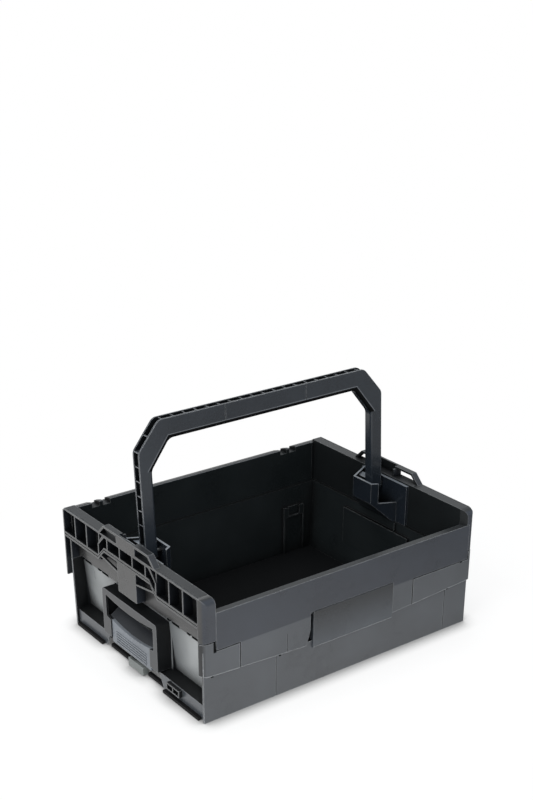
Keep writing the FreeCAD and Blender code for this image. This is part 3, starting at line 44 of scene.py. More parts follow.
# Camera: place in metres, lens and sensor in millimetres
CAMERA_PLACE = (-0.97145, -1.31322, 0.90839)
CAMERA_AIM = (0.53171, 0.71877, -0.44794)
CAMERA_LENS = 59.879
CAMERA_SENSOR = 36.0
CAMERA_SHIFT_Y = 0.2023
CAMERA_CLIP_END = 200.0

# Colours as linear values
BAND_COLOUR = (0.021, 0.026, 0.036)
LOWER_COLOUR = (0.054, 0.060, 0.068)
PAINTED_LIT_END_COLOUR = (0.290, 0.302, 0.305)
SHADED_LEDGE_COLOUR = (0.0035, 0.0040, 0.0045)
FRAME_END_SHADING_COLOUR = (0.034, 0.034, 0.034)
SHADED_RIM_COLOUR = (0.013, 0.0145, 0.016)
PANEL_COLOUR = (0.052, 0.060, 0.070)
SHADED_INSIDE_COLOUR = (0.0100, 0.0128, 0.0140)
HANDLE_COLOUR = (0.016, 0.021, 0.028)
HIGHLIGHT_LINE_COLOUR = (0.150, 0.162, 0.180)
BRACKET_COLOUR = (0.012, 0.016, 0.022)
TOP_HIGHLIGHT_COLOUR = (0.120, 0.135, 0.155)
HOUSING_COLOUR = (0.026, 0.028, 0.031)
SHADED_HOUSING_SIDE_COLOUR = (0.0060, 0.0068, 0.0080)
SLIDER_COLOUR = (0.150, 0.165, 0.185)
RAMP_COLOUR = (0.018, 0.020, 0.024)
TONGUE_COLOUR = (0.160, 0.175, 0.170)
LUG_COLOUR = (0.030, 0.031, 0.032)
SKID_COLOUR = (0.004, 0.004, 0.0045)
SPRING_COLOUR = (0.420, 0.430, 0.440)
SHADED_PIN_COLOUR = (0.060, 0.062, 0.065)
WORN_EDGE_HIGHLIGHT_COLOUR = (0.400, 0.415, 0.430)
HOLLOW_COLOUR = (0.0030, 0.0034, 0.0038)
SLANT_HIGHLIGHT_COLOUR = (0.330, 0.340, 0.350)
SHADED_COVER_END_COLOUR = (0.006, 0.007, 0.008)

# Plastics: roughness, strength of the grain, gleam
TUB_SURFACE = (0.30, 0.02, 0.7)
FRAME_SURFACE = (0.28, 0.025, 0.65)
PANEL_SURFACE = (0.28, 0.025, 0.6)
HANDLE_SURFACE = (0.27, 0.02, 0.65)
BRACKET_SURFACE = (0.22, 0.015, 0.9)
HOUSING_SURFACE = (0.32, 0.03, 0.6)
LUG_SURFACE = (0.40, 0.03, 0.6)
SLIDER_SURFACE = (0.42, 0.05, 0.5)
RAMP_SURFACE = (0.38, 0.03, 0.5)
TONGUE_SURFACE = (0.45, 0.05, 0.5)
SKID_SURFACE = (0.70, 0.15, 0.15)
TAB_SURFACE = (0.70, 0.10, 0.1)

# Paling of the edges by handling and by painted highlight, from none at 0; a pair is outside and inside
TUB_WEAR_AND_HIGHLIGHT = (0.9, 0.4)
FRAME_WEAR_AND_HIGHLIGHT = (0.6, 0.25)
PANEL_WEAR_AND_HIGHLIGHT = 0.5
HANDLE_WEAR_AND_HIGHLIGHT = 0.8
BRACKET_WEAR_AND_HIGHLIGHT = 0.5
HOUSING_WEAR_AND_HIGHLIGHT = 0.7
SLIDER_WEAR_AND_HIGHLIGHT = 0.3
RAMP_WEAR_AND_HIGHLIGHT = 0.3
TONGUE_WEAR_AND_HIGHLIGHT = 0.4
SKID_WEAR_AND_HIGHLIGHT = 0.05
TAB_WEAR_AND_HIGHLIGHT = 0.0

# How far faces out of the light go to dull black, from none at 0
HOLLOW_MOST = 0.9
SLIDER_HOLLOW_MOST = 0.35
LEDGE_SHADE = 0.4
RETURN_SHADE = 0.6
INWARD_SHADE = 0.6
WINDOW_SHADE = 0.8
HOUSING_SIDE_SHADE = 0.55
TAB_SHADE = 0.9

# Surface detail: lengths in metres, noise scales per metre
EDGE_ROUND = 0.0007
WEAR_AND_HIGHLIGHT_ROUND = 0.0015
EDGE_SAMPLES = 4
WEAR_AND_HIGHLIGHT_BEND = (0.985, 0.80)
WEAR_AND_HIGHLIGHT_OPEN = (0.50, 0.75)
HOLLOW_REACH = 0.030
HOLLOW_SAMPLES = 8
HOLLOW_OPEN = (0.45, 0.90)
HOLLOW_ROUGHER = 0.35
GRAIN_DEPTH = 0.0002
NOISE_DETAIL = 3.0
NOISE_ROUGHNESS = 0.6
CLOUD_SCALE = 9.0
STREAK_SCALE = 130.0
SPECK_SCALE = 2200.0
SPECK_DETAIL = 1.0
NOISE_MIDDLE = (0.3, 0.7)
STREAK_MIDDLE = (0.35, 0.65)
STREAK_LEVELS = (0.55, 1.0)
TINT_LEVELS = (0.78, 1.22)
CLOUD_GLOSS = 0.05
SPECK_GLOSS = (-0.01, 0.01)
MASK_BLUR = 0.0004

# Drawn steel: noise stretched into lines, how dark they are, and the range of roughness
STEEL_STRETCH = (20.0, 400.0, 400.0)
STEEL_LINES = 6.0
STEEL_DARK = 0.8
STEEL_GLOSS = (0.26, 0.40)
STEEL_BUMP = 0.15
STEEL_BUMP_DEPTH = 0.0001

# Parts of a surface direction that count as facing a way, each with its blur
OUTER_FACE = (0.70, 0.10)
END_FACE = (0.92, 0.04)
COVER_FACE = (0.60, 0.20)
RETURN_FACE = (-0.50, 0.10)
LIP_FACE = (-0.25, 0.10)
LEDGE_FACE = (0.40, 0.05)
FLOOR_FACE = (0.90, 0.05)
TOP_HIGHLIGHT_FACE = (0.40, 0.10)
SLANT_STEEPEST = (-0.50, 0.05)
SLANT_FLATTEST = (-0.90, 0.05)

# Inner faces of the ends: direction across times x in metres, with its blur
INWARD_FACE = (-0.10, 0.02)

# Limits of the tub's finishes, in metres; a pair is at the floor and at the top
TUB_TOP = 0.110
TUB_WALL_X = (0.1925, 0.2015)
TUB_WALL_Y = (0.1475, 0.1510)
TUB_INNER_FRONT = -0.1660
TUB_FLOOR = 0.0020
TUB_TOP_FACE = 0.1093
TUB_TOP_FRONT = -0.1655
COVERED_HEIGHT = 0.0968
END_WALL_X = 0.2046
END_WALL_TOP = 0.1003
COVER_X = 0.2100
COVER_BOTTOM = 0.0540
COVER_BACK = -0.1300
RETURN_FRONT = 0.1200
TUB_RETURN_X = 0.2000
SLANT_FRONT = -0.150

# Painted light on the end walls: where its two fades run, in metres, and the share left beside the latch and
# at the corner, where painted shade falls
PALE_FROM_LATCH = (0.070, 0.110)
PALE_BY_LATCH = 0.5
PALE_TO_CORNER = (0.120, 0.150)
PALE_BY_CORNER = 0.70

# Front panel: heights of its fade of painted shade in metres, and the share of its colour left above it
PANEL_FADE = (0.058, 0.100)
PANEL_TOP_LEVEL = 0.28

# Limits of the frame's finishes, in metres
SEAM_HEIGHT = 0.0985
FRAME_INNER_X = 0.2058
FRAME_INNER_FRONT = -0.1622
FRAME_INNER_BACK = 0.1562
FRAME_RIM = 0.1690
WINDOW_FACE_X = 0.2198
WINDOW_BACK_X = 0.2120
WINDOW_BOTTOM = 0.1310
WINDOW_REACH = 0.1600

# Handle arch: pivot as y and z, lean, height of the bar above the pivot, and the inner edge of leg and corner
PIVOT_PLACE = (-0.0015, 0.1585)
HANDLE_LEAN = math.radians(3.0)
ARCH_BAR = 0.14724
ARCH_LEG = 0.1775
ARCH_CORNER = (0.028, 0.036)

# Dark lip of painted shade along the arch and the painted highlight line beyond it, measured outward from the
# inner edge in metres
LIP_START = -0.001
LIP_WIDTH = 0.0050
LINE_WIDTH = 0.0010

# Base strip under each latch, in two runs either side of the tongue
STRIP_INNER = 0.2085
STRIP_OUTER = 0.2135
STRIP_HEIGHT = 0.0045
STRIP_CHAMFER = 0.0012
STRIP_RUNS = ((-0.0690, -0.0295), (0.0095, 0.0640))

# Dark tabs of painted shade in the snap slots of the end walls, two to a slot with a break between them
TAB_STARTS = (-0.1445, -0.0995, 0.0715, 0.1165)
TAB_SLOT_LENGTH = 0.0280
TAB_SHORT = 0.0060
TAB_BREAK = 0.0050
TAB_HOLD = 0.0002
TAB_INNER = 0.2046
TAB_OUTER = 0.2073
TAB_LOW = 0.0998
TAB_HIGH = 0.1036
TAB_CHAMFER = 0.0002

# Floor: colours, contact shadow, how it dims in gloss along x, and how it pales away from the object
FLOOR_SIZE = 60.0
FLOOR_COLOURS = ((0.80, 0.80, 0.80), (0.84, 0.84, 0.84))
FLOOR_GRAIN = 30.0
CONTACT_REACH = 0.026
CONTACT_SAMPLES = 12
CONTACT_OPEN = (0.45, 0.97)
CONTACT_LEVELS = (0.12, 1.0)
GLOSS_FADE = (-0.05, 0.45)
GLOSS_FADE_MOST = 0.58
FLOOR_AWAY = (0.30, 0.55)
FLOOR_AWAY_LEVELS = (0.75, 1.0)

# World and lamps: lamps give name, place, width and height in metres, and watts
SKY_COLOUR = (0.95, 0.98, 1.0, 1.0)
SKY_HEIGHTS = (-0.05, 0.9)
SKY_LEVELS = (0.30, 0.75)
SKY_GLOSS_LEVEL = 0.58
SKY_WHITE = (1.0, 1.0, 1.0, 1.0)
LAMP_AIM = (0.0, 0.0, 0.1)
LAMPS = (
    ("key", (-1.6, -0.4, 1.7), (1.2, 1.2), 26.0),
    ("top", (0.1, 0.3, 2.2), (1.6, 1.6), 26.0),
    ("front", (-0.9, -2.2, 1.1), (1.6, 1.0), 14.0),
)


# Node helpers

def new_material(name):
    material = bpy.data.materials.new(name)
    material.use_nodes = True
    material.node_tree.nodes.clear()
    return material, material.node_tree


def add(tree, kind, inputs=None, **settings):
    """New node with its settings, and its inputs either linked or set."""
    node = tree.nodes.new(kind)
    for key, value in settings.items():
        setattr(node, key, value)
    for key, value in (inputs or {}).items():
        if isinstance(value, bpy.types.NodeSocket):
            tree.links.new(value, node.inputs[key])
        else:
            node.inputs[key].default_value = value
    return node


def math_node(tree, operation, first, second=0.0, clamp=False):
    node = add(tree, "ShaderNodeMath", {0: first, 1: second}, operation=operation, use_clamp=clamp)
    return node.outputs[0]


def plus(tree, first, second, clamp=False):
    return math_node(tree, "ADD", first, second, clamp)


def minus(tree, first, second):
    return math_node(tree, "SUBTRACT", first, second)


def both(tree, first, second):
    """Product of two values: where two masks meet, or a value scaled by another."""
    return math_node(tree, "MULTIPLY", first, second)


def larger(tree, first, second):
    return math_node(tree, "MAXIMUM", first, second)


def unsigned(tree, value):
    return math_node(tree, "ABSOLUTE", value)


def span(tree, value, low, high, to_low=0.0, to_high=1.0):
    """Clamped linear map of a value from one range to another."""
    inputs = {"Value": value, "From Min": low, "From Max": high, "To Min": to_low, "To Max": to_high}
    return add(tree, "ShaderNodeMapRange", inputs).outputs["Result"]


def below(tree, value, limit, blur=MASK_BLUR):
    """One below a limit and zero above it."""
    return span(tree, value, limit - blur, limit + blur, 1.0, 0.0)


def above(tree, value, limit, blur=MASK_BLUR):
    """One above a limit and zero below it."""
    return span(tree, value, limit - blur, limit + blur)


def between(tree, value, low, high):
    return both(tree, above(tree, value, low), below(tree, value, high))


def blend(tree, factor, first, second):
    """Mix of two colours, each a socket or a plain colour; the colour sockets of the node go by number."""
    node = add(tree, "ShaderNodeMix", data_type="RGBA")
    for index, value in ((0, factor), (6, first), (7, second)):
        if isinstance(value, bpy.types.NodeSocket):
            tree.links.new(value, node.inputs[index])
        elif index == 0:
            node.inputs[index].default_value = value
        else:
            node.inputs[index].default_value = (*value, 1.0)
    return node.outputs[2]


def scaled(colour, level):
    return tuple(level * part for part in colour)


def own_place(tree):
    """Coordinates in the object's own frame."""
    return add(tree, "ShaderNodeTexCoord").outputs["Object"]


def parts(tree, vector):
    """The three parts of a vector."""
    node = add(tree, "ShaderNodeSeparateXYZ", {0: vector})
    return node.outputs[0], node.outputs[1], node.outputs[2]


def facing(tree):
    """The three parts of the true surface direction in the object's own frame, which moves with its joint."""
    normal = add(tree, "ShaderNodeNewGeometry").outputs["True Normal"]
    own = add(tree, "ShaderNodeVectorTransform", {0: normal}, vector_type="NORMAL",
              convert_from="WORLD", convert_to="OBJECT").outputs[0]
    return parts(tree, own)


def noise(tree, coords, scale, detail=NOISE_DETAIL):
    inputs = {"Vector": coords, "Scale": scale, "Detail": detail, "Roughness": NOISE_ROUGHNESS}
    return add(tree, "ShaderNodeTexNoise", inputs).outputs["Fac"]


# Moulded plastic

def edge_wear_and_highlight(tree):
    """Mask of the outer edges, paled by handling and by a painted highlight."""
    smooth = add(tree, "ShaderNodeBevel", {"Radius": WEAR_AND_HIGHLIGHT_ROUND}, samples=EDGE_SAMPLES).outputs[0]
    normal = add(tree, "ShaderNodeNewGeometry").outputs["Normal"]
    dot = add(tree, "ShaderNodeVectorMath", {0: smooth, 1: normal}, operation="DOT_PRODUCT").outputs["Value"]
    return span(tree, dot, *WEAR_AND_HIGHLIGHT_BEND)


def openness(tree):
    """How open a point is to its surroundings: low in narrow hollows, one on an outer edge."""
    reach = add(tree, "ShaderNodeAmbientOcclusion", {"Distance": HOLLOW_REACH},
                samples=HOLLOW_SAMPLES, only_local=True)
    return reach.outputs["AO"]


def moulded(tree, coords, colour, surface, wear_and_highlight, slant=0.0, shade=0.0, hollows=HOLLOW_MOST):
    """Moulded plastic around a base colour: fine grain, cloudy gloss, edges paled by handling and painted
    highlight, dull painted shade in hollows.
    """
    roughness, grain, gleam = surface
    cloud = noise(tree, coords, CLOUD_SCALE)
    speck = noise(tree, coords, SPECK_SCALE, SPECK_DETAIL)
    streak = noise(tree, coords, STREAK_SCALE)
    tint = span(tree, cloud, *NOISE_MIDDLE, *TINT_LEVELS)
    tinted = add(tree, "ShaderNodeVectorMath", {0: colour, "Scale": tint}, operation="SCALE").outputs[0]
    space = openness(tree)
    # Painted shade: hollows go dark and matte by how open they are.
    hollow = both(tree, span(tree, space, *HOLLOW_OPEN, hollows, 0.0), minus(tree, 1.0, slant))
    hollow = larger(tree, hollow, both(tree, shade, HOLLOW_MOST))
    # Painted highlight on the slanted undersides, over the painted shade of the hollows.
    sunk = blend(tree, slant, blend(tree, hollow, tinted, HOLLOW_COLOUR), SLANT_HIGHLIGHT_COLOUR)
    # Edges paled partly by handling and partly by a painted highlight.
    pale_highlight = both(tree, edge_wear_and_highlight(tree), span(tree, streak, *STREAK_MIDDLE, *STREAK_LEVELS))
    pale_highlight = both(tree, pale_highlight, span(tree, space, *WEAR_AND_HIGHLIGHT_OPEN))
    worn_and_highlit = blend(tree, both(tree, pale_highlight, wear_and_highlight), sunk, WORN_EDGE_HIGHLIGHT_COLOUR)
    gloss = span(tree, cloud, *NOISE_MIDDLE, roughness - CLOUD_GLOSS, roughness + CLOUD_GLOSS)
    gloss = plus(tree, gloss, span(tree, speck, *NOISE_MIDDLE, *SPECK_GLOSS))
    dull = plus(tree, gloss, both(tree, hollow, HOLLOW_ROUGHER), clamp=True)
    round_edge = add(tree, "ShaderNodeBevel", {"Radius": EDGE_ROUND}, samples=EDGE_SAMPLES).outputs[0]
    inputs = {"Strength": grain, "Distance": GRAIN_DEPTH, "Height": speck, "Normal": round_edge}
    bump = add(tree, "ShaderNodeBump", inputs).outputs[0]
    inputs = {"Base Color": worn_and_highlit, "Roughness": dull, "Normal": bump, "Specular IOR Level": gleam}
    shader = add(tree, "ShaderNodeBsdfPrincipled", inputs)
    shade_matte = add(tree, "ShaderNodeBsdfDiffuse", {"Color": sunk})
    mix = add(tree, "ShaderNodeMixShader", {0: hollow, 1: shader.outputs[0], 2: shade_matte.outputs[0]})
    add(tree, "ShaderNodeOutputMaterial", {0: mix.outputs[0]})


# Masks

def under_slant(tree, y, up):
    """Mask of the slanted undersides along the front, given a painted highlight for the floor's light."""
    slant = both(tree, below(tree, up, *SLANT_STEEPEST), above(tree, up, *SLANT_FLATTEST))
    return both(tree, slant, below(tree, y, SLANT_FRONT))


def tub_wall(tree, z):
    """Distance from the middle of the tub to the middle of its drafted end wall."""
    return span(tree, z, 0.0, TUB_TOP, *TUB_WALL_X)


def tub_inside(tree, side, y, z):
    """Mask of the space within the tub's walls."""
    within_ends = above(tree, minus(tree, tub_wall(tree, z), side), 0.0)
    within_back = above(tree, minus(tree, span(tree, z, 0.0, TUB_TOP, *TUB_WALL_Y), y), 0.0)
    over = both(tree, above(tree, y, TUB_INNER_FRONT), above(tree, z, TUB_FLOOR))
    return both(tree, both(tree, within_ends, within_back), over)


def tub_covered(tree, side, y, z):
    """Mask of the tub's top and of its upper end walls, which the frame covers."""
    behind = above(tree, minus(tree, side, tub_wall(tree, z)), 0.0)
    behind = both(tree, behind, above(tree, z, COVERED_HEIGHT))
    top = both(tree, above(tree, z, TUB_TOP_FACE), above(tree, y, TUB_TOP_FRONT))
    return both(tree, larger(tree, behind, top), below(tree, side, END_WALL_X))


def lit_end_panel(tree, side, y, z, across):
    """Mask of the painted light on the end walls, weaker beside the latch and towards the back corner as
    painted shade.
    """
    face = above(tree, unsigned(tree, across), *END_FACE)
    face = both(tree, face, both(tree, below(tree, side, END_WALL_X), below(tree, z, END_WALL_TOP)))
    by_latch = span(tree, unsigned(tree, y), *PALE_FROM_LATCH, PALE_BY_LATCH, 1.0)
    by_corner = span(tree, y, *PALE_TO_CORNER, 1.0, PALE_BY_CORNER)
    return both(tree, face, both(tree, by_latch, by_corner))


def corner_cover(tree, side, y, z, across):
    """Mask of the end faces of the front corner covers."""
    corner = both(tree, above(tree, z, COVER_BOTTOM), below(tree, y, COVER_BACK))
    corner = both(tree, above(tree, side, COVER_X), corner)
    return both(tree, corner, above(tree, unsigned(tree, across), *COVER_FACE))


def back_return(tree, side, y, along, least_side):
    """Mask of the faces that look forward at the back of the end recesses."""
    corner = both(tree, above(tree, y, RETURN_FRONT), above(tree, side, least_side))
    return both(tree, below(tree, along, *RETURN_FACE), corner)


def lattice_window(tree, side, y, z, ends):
    """Mask of the faces within the lattice windows, and of the wall behind them."""
    outermost = span(tree, ends, 0.0, 1.0, WINDOW_FACE_X, WINDOW_BACK_X)
    window = both(tree, above(tree, side, FRAME_INNER_X), above(tree, minus(tree, outermost, side), 0.0))
    window = both(tree, window, between(tree, z, WINDOW_BOTTOM, FRAME_RIM))
    return both(tree, window, below(tree, unsigned(tree, y), WINDOW_REACH))


def arch_distance(tree, x, y, z):
    """Distance outward from the inner edge of the handle arch, and from the lower edge of its bar alone."""
    reach = plus(tree, both(tree, minus(tree, z, PIVOT_PLACE[1]), math.cos(HANDLE_LEAN)),
                 both(tree, minus(tree, y, PIVOT_PLACE[0]), math.sin(HANDLE_LEAN)))
    from_bar = minus(tree, reach, ARCH_BAR)
    width, height = ARCH_CORNER
    slope = math.hypot(width, height)
    from_leg = both(tree, minus(tree, unsigned(tree, x), ARCH_LEG), height / slope)
    from_foot = both(tree, minus(tree, from_bar, -height), width / slope)
    return larger(tree, from_bar, plus(tree, from_leg, from_foot)), from_bar


# Finishes

def plain_plastic(name, colour, surface, wear_and_highlight, hollows=HOLLOW_MOST):
    """Plastic of one colour all over."""
    material, tree = new_material(name)
    moulded(tree, own_place(tree), colour, surface, wear_and_highlight, hollows=hollows)
    return material


def tub_plastic():
    """Tub: grey outside, painted light on the ends, and painted shade near black inside the walls and where
    the frame covers it.
    """
    material, tree = new_material("tub_plastic")
    coords = own_place(tree)
    x, y, z = parts(tree, coords)
    across, along, up = facing(tree)
    side = unsigned(tree, x)
    # Painted shade: inside the walls and where the frame covers the tub go near black.
    inside = tub_inside(tree, side, y, z)
    covered = tub_covered(tree, side, y, z)
    dark = larger(tree, inside, covered)
    # Painted shade: upward ledges and the floor inside go near black and dull.
    ledge = above(tree, up, *LEDGE_FACE)
    bottom = both(tree, inside, above(tree, up, *FLOOR_FACE))
    turn = back_return(tree, side, y, along, TUB_RETURN_X)
    outer = blend(tree, lit_end_panel(tree, side, y, z, across), LOWER_COLOUR, PAINTED_LIT_END_COLOUR)
    outer = blend(tree, ledge, outer, SHADED_LEDGE_COLOUR)
    # Painted shade on the end faces of the corner covers and on the back returns.
    outer = blend(tree, larger(tree, corner_cover(tree, side, y, z, across), turn), outer, SHADED_COVER_END_COLOUR)
    inner = blend(tree, bottom, SHADED_INSIDE_COLOUR, SHADED_LEDGE_COLOUR)
    colour = blend(tree, dark, outer, inner)
    shade = larger(tree, larger(tree, covered, bottom), both(tree, ledge, LEDGE_SHADE))
    shade = larger(tree, shade, both(tree, turn, RETURN_SHADE))
    wear_and_highlight = span(tree, dark, 0.0, 1.0, *TUB_WEAR_AND_HIGHLIGHT)
    moulded(tree, coords, colour, TUB_SURFACE, wear_and_highlight, under_slant(tree, y, up), shade)
    return material


def frame_plastic():
    """Upper frame: bluish above the seam, paler below it, grey ends and darker rim tops as painted shading,
    and painted shade near black on the inner faces.
    """
    material, tree = new_material("frame_plastic")
    coords = own_place(tree)
    x, y, z = parts(tree, coords)
    across, along, up = facing(tree)
    side = unsigned(tree, x)
    # Painted shade: the inner and inward faces of the frame go near black.
    inward = below(tree, both(tree, across, x), *INWARD_FACE)
    inside = both(tree, below(tree, side, FRAME_INNER_X), below(tree, y, FRAME_INNER_BACK))
    inside = both(tree, inside, both(tree, above(tree, y, FRAME_INNER_FRONT), below(tree, z, FRAME_RIM)))
    inside = larger(tree, inside, inward)
    ends = above(tree, unsigned(tree, across), *OUTER_FACE)
    outer = blend(tree, above(tree, z, SEAM_HEIGHT), LOWER_COLOUR, BAND_COLOUR)
    # Painted shading: the end faces and the upward rim faces get their own greys.
    outer = blend(tree, ends, outer, FRAME_END_SHADING_COLOUR)
    outer = blend(tree, above(tree, up, *OUTER_FACE), outer, SHADED_RIM_COLOUR)
    colour = blend(tree, inside, outer, SHADED_INSIDE_COLOUR)
    # Painted shade in the lattice windows and on the forward faces at the back of the recesses.
    window = lattice_window(tree, side, y, z, ends)
    turn = back_return(tree, side, y, along, FRAME_INNER_X)
    shade = larger(tree, both(tree, inward, INWARD_SHADE), both(tree, window, WINDOW_SHADE))
    shade = larger(tree, shade, both(tree, turn, RETURN_SHADE))
    wear_and_highlight = span(tree, larger(tree, inside, window), 0.0, 1.0, *FRAME_WEAR_AND_HIGHLIGHT)
    moulded(tree, coords, colour, FRAME_SURFACE, wear_and_highlight, under_slant(tree, y, up), shade)
    return material


def panel_plastic():
    """Front panel: painted shade darker towards its upper edge."""
    material, tree = new_material("panel_plastic")
    coords = own_place(tree)
    place = parts(tree, coords)
    dark = scaled(PANEL_COLOUR, PANEL_TOP_LEVEL)
    colour = blend(tree, span(tree, place[UP], *PANEL_FADE), PANEL_COLOUR, dark)
    slant = under_slant(tree, place[ALONG], facing(tree)[UP])
    moulded(tree, coords, colour, PANEL_SURFACE, PANEL_WEAR_AND_HIGHLIGHT, slant)
    return material


def handle_plastic():
    """Handle: bluish near black, with painted shade on the inner edge of the arch below a painted highlight
    line.
    """
    material, tree = new_material("handle_plastic")
    coords = own_place(tree)
    x, y, z = parts(tree, coords)
    edge, from_bar = arch_distance(tree, x, y, z)
    front = below(tree, facing(tree)[ALONG], *LIP_FACE)
    front = both(tree, front, above(tree, from_bar, -ARCH_CORNER[1]))
    lip = both(tree, front, between(tree, edge, LIP_START, LIP_WIDTH))
    line = both(tree, front, between(tree, edge, LIP_WIDTH, LIP_WIDTH + LINE_WIDTH))
    colour = blend(tree, line, HANDLE_COLOUR, HIGHLIGHT_LINE_COLOUR)
    colour = blend(tree, lip, colour, HOLLOW_COLOUR)
    wear_and_highlight = span(tree, lip, 0.0, 1.0, HANDLE_WEAR_AND_HIGHLIGHT, 0.0)
    moulded(tree, coords, colour, HANDLE_SURFACE, wear_and_highlight, shade=lip)
    return material


def end_plastic(name, face_colour, surface):
    """Latch housing and lugs: grey outer face, painted shade near black on the top and sides."""
    material, tree = new_material(name)
    face = above(tree, unsigned(tree, facing(tree)[ACROSS]), *OUTER_FACE)
    colour = blend(tree, face, SHADED_HOUSING_SIDE_COLOUR, face_colour)
    shade = span(tree, face, 0.0, 1.0, HOUSING_SIDE_SHADE, 0.0)
    moulded(tree, own_place(tree), colour, surface, HOUSING_WEAR_AND_HIGHLIGHT, shade=shade)
    return material


def bracket_plastic():
    """Pivot bracket: glossy near black, with a painted highlight on its upper faces."""
    material, tree = new_material("bracket_plastic")
    pale_highlight = above(tree, facing(tree)[UP], *TOP_HIGHLIGHT_FACE)
    colour = blend(tree, pale_highlight, BRACKET_COLOUR, TOP_HIGHLIGHT_COLOUR)
    moulded(tree, own_place(tree), colour, BRACKET_SURFACE, BRACKET_WEAR_AND_HIGHLIGHT)
    return material


def tab_plastic():
    """Tabs in the snap slots: painted shade, dark and dull all over."""
    material, tree = new_material("tab_plastic")
    moulded(tree, own_place(tree), HOLLOW_COLOUR, TAB_SURFACE, TAB_WEAR_AND_HIGHLIGHT, shade=TAB_SHADE)
    return material


def steel(name, colour):
    """Drawn steel with fine lines that run across, along x."""
    material, tree = new_material(name)
    inputs = {"Vector": own_place(tree), "Scale": STEEL_STRETCH}
    lines = noise(tree, add(tree, "ShaderNodeMapping", inputs).outputs[0], STEEL_LINES)
    drawn = blend(tree, lines, scaled(colour, STEEL_DARK), colour)
    gloss = span(tree, lines, *NOISE_MIDDLE, *STEEL_GLOSS)
    inputs = {"Strength": STEEL_BUMP, "Distance": STEEL_BUMP_DEPTH, "Height": lines}
    bump = add(tree, "ShaderNodeBump", inputs).outputs[0]
    inputs = {"Base Color": drawn, "Metallic": 1.0, "Roughness": gloss, "Normal": bump}
    shader = add(tree, "ShaderNodeBsdfPrincipled", inputs)
    add(tree, "ShaderNodeOutputMaterial", {0: shader.outputs[0]})
    return material


def dress(skid_finish):
    """Give every CAD node its finish."""
    upper = frame_plastic()
    finishes = {
        "tub_shell": tub_plastic(),
        "front_panel": panel_plastic(),
        "front_band": upper,
        "back_band": upper,
        "end_frame": upper,
        "handle_frame": handle_plastic(),
        "pivot_bracket": bracket_plastic(),
        # Pin coloured dark as painted shade of the bracket pocket.
        "pivot_pin": steel("pin_steel", SHADED_PIN_COLOUR),
        "latch_housing": end_plastic("housing_plastic", HOUSING_COLOUR, HOUSING_SURFACE),
        "latch_slider": plain_plastic("slider_plastic", SLIDER_COLOUR, SLIDER_SURFACE, SLIDER_WEAR_AND_HIGHLIGHT,
                                      SLIDER_HOLLOW_MOST),
        "latch_ramp": plain_plastic("ramp_plastic", RAMP_COLOUR, RAMP_SURFACE, RAMP_WEAR_AND_HIGHLIGHT),
        "latch_tongue": plain_plastic("tongue_plastic", TONGUE_COLOUR, TONGUE_SURFACE, TONGUE_WEAR_AND_HIGHLIGHT),
        "latch_spring": steel("spring_steel", SPRING_COLOUR),
        "coupling_lug": end_plastic("lug_plastic", LUG_COLOUR, LUG_SURFACE),
        "base_skids": skid_finish,
    }
    for name, node in frame["nodes"].items():
        short = name.replace("left_", "").replace("right_", "")
        node.data.materials.clear()
        node.data.materials.append(finishes[short])


# Added pieces

def bars(name, side, section, runs, finish):
    """Straight bars of one section in one mesh, one bar for each run along an end of the tub."""
    count = len(section)
    points = []
    faces = []
    for start, stop in runs:
        first = len(points)
        points += [(side * across, along, up) for along in (start, stop) for across, up in section]
        faces.append(tuple(range(first, first + count)))
        faces.append(tuple(range(first + 2 * count - 1, first + count - 1, -1)))
        for index in range(count):
            here = first + index
            after = first + (index + 1) % count
            faces.append((here, here + count, after + count, after))
    mesh = bpy.data.meshes.new(name)
    mesh.from_pydata(points, [], faces if side > 0 else [face[::-1] for face in faces])
    mesh.materials.append(finish)
    piece = bpy.data.objects.new(name, mesh)
    bpy.context.scene.collection.objects.link(piece)
    return piece


def chamfered(inner, outer, low, high, chamfer):
    """Section of a bar with its outer upper edge cut off."""
    return [(inner, low), (outer, low), (outer, high - chamfer), (outer - chamfer, high), (inner, high)]


def tab_runs():
    """A short and a long tab in each snap slot, the short one towards the back."""
    runs = []
    for start in TAB_STARTS:
        stop = start + TAB_SLOT_LENGTH
        runs.append((stop - TAB_SHORT, stop + TAB_HOLD))
        runs.append((start - TAB_HOLD, stop - TAB_SHORT - TAB_BREAK))
    return runs


def end_details(strip_finish, tab_finish):
    """Base strips beside each tongue, and the dark tabs of painted shade in the snap slots of each end wall.
    """
    strip_section = chamfered(STRIP_INNER, STRIP_OUTER, 0.0, STRIP_HEIGHT, STRIP_CHAMFER)
    tab_section = chamfered(TAB_INNER, TAB_OUTER, TAB_LOW, TAB_HIGH, TAB_CHAMFER)
    for end, side in (("left", -1), ("right", 1)):
        strips = bars(end + "_base_strips", side, strip_section, STRIP_RUNS, strip_finish)
        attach(strips, "tub")
        tabs = bars(end + "_snap_tabs", side, tab_section, tab_runs(), tab_finish)
        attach(tabs, "tub")


# Studio

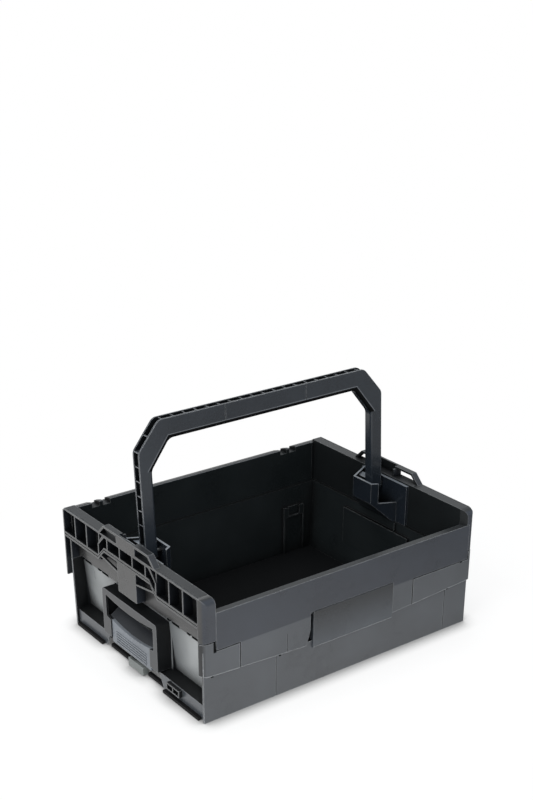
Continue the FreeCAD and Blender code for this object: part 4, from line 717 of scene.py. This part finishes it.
def floor_material():
    """Pale floor that shows white to the camera and in gloss, and keeps the soft shadow."""
    material, tree = new_material("studio_floor")
    coords = own_place(tree)
    colour = blend(tree, noise(tree, coords, FLOOR_GRAIN), *FLOOR_COLOURS)
    diffuse = add(tree, "ShaderNodeBsdfDiffuse", {"Color": colour})
    rays = add(tree, "ShaderNodeLightPath")
    glossy = rays.outputs["Is Glossy Ray"]
    seen = larger(tree, rays.outputs["Is Camera Ray"], glossy)
    fade = both(tree, glossy, span(tree, parts(tree, coords)[ACROSS], *GLOSS_FADE, 0.0, GLOSS_FADE_MOST))
    # Painted contact shadow: the glow darkens near the object.
    contact = add(tree, "ShaderNodeAmbientOcclusion", {"Distance": CONTACT_REACH}, samples=CONTACT_SAMPLES)
    shade = span(tree, contact.outputs["AO"], *CONTACT_OPEN, *CONTACT_LEVELS)
    level = both(tree, minus(tree, 1.0, fade), larger(tree, shade, glossy))
    glow = add(tree, "ShaderNodeEmission", {"Strength": level})
    away = add(tree, "ShaderNodeVectorMath", {0: coords}, operation="LENGTH").outputs["Value"]
    pale = larger(tree, glossy, span(tree, away, *FLOOR_AWAY, *FLOOR_AWAY_LEVELS))
    share = both(tree, seen, pale)
    mix = add(tree, "ShaderNodeMixShader", {0: share, 1: diffuse.outputs[0], 2: glow.outputs[0]})
    add(tree, "ShaderNodeOutputMaterial", {0: mix.outputs[0]})
    return material


def floor():
    bpy.ops.mesh.primitive_plane_add(size=FLOOR_SIZE, location=(0, 0, 0))
    plane = bpy.context.object
    plane.name = "studio_floor"
    plane.data.materials.append(floor_material())


def world():
    """White to the camera, a soft pale sky to everything else."""
    sky = bpy.data.worlds.new("studio_world")
    bpy.context.scene.world = sky
    sky.use_nodes = True
    tree = sky.node_tree
    tree.nodes.clear()
    direction = add(tree, "ShaderNodeTexCoord").outputs["Generated"]
    strength = span(tree, parts(tree, direction)[UP], *SKY_HEIGHTS, *SKY_LEVELS)
    soft = add(tree, "ShaderNodeBackground", {"Color": SKY_COLOUR, "Strength": strength})
    white = add(tree, "ShaderNodeBackground", {"Color": SKY_WHITE, "Strength": 1.0})
    dim = add(tree, "ShaderNodeBackground", {"Color": SKY_COLOUR, "Strength": SKY_GLOSS_LEVEL})
    rays = add(tree, "ShaderNodeLightPath")
    glossy = rays.outputs["Is Glossy Ray"]
    shown = add(tree, "ShaderNodeMixShader", {0: glossy, 1: soft.outputs[0], 2: dim.outputs[0]})
    seen = rays.outputs["Is Camera Ray"]
    mix = add(tree, "ShaderNodeMixShader", {0: seen, 1: shown.outputs[0], 2: white.outputs[0]})
    add(tree, "ShaderNodeOutputWorld", {0: mix.outputs[0]})


def looking(direction):
    """Rotation that points a lamp or camera along a direction."""
    return Vector(direction).to_track_quat("-Z", "Y").to_euler()


def lamps():
    for name, location, (width, height), power in LAMPS:
        data = bpy.data.lights.new(name, "AREA")
        data.shape = "RECTANGLE"
        data.size = width
        data.size_y = height
        data.energy = power
        light = bpy.data.objects.new(name, data)
        light.location = location
        light.rotation_euler = looking(Vector(LAMP_AIM) - Vector(location))
        bpy.context.scene.collection.objects.link(light)


def camera():
    data = bpy.data.cameras.new("camera")
    data.sensor_width = CAMERA_SENSOR
    data.lens = CAMERA_LENS
    data.shift_y = CAMERA_SHIFT_Y
    data.clip_end = CAMERA_CLIP_END
    eye = bpy.data.objects.new("camera", data)
    eye.location = CAMERA_PLACE
    eye.rotation_euler = looking(CAMERA_AIM)
    bpy.context.scene.collection.objects.link(eye)
    bpy.context.scene.camera = eye


skid_plastic = plain_plastic("skid_plastic", SKID_COLOUR, SKID_SURFACE, SKID_WEAR_AND_HIGHLIGHT)
dress(skid_plastic)
end_details(skid_plastic, tab_plastic())
floor()
world()
lamps()
camera()
bpy.context.scene.view_settings.view_transform = "Standard"
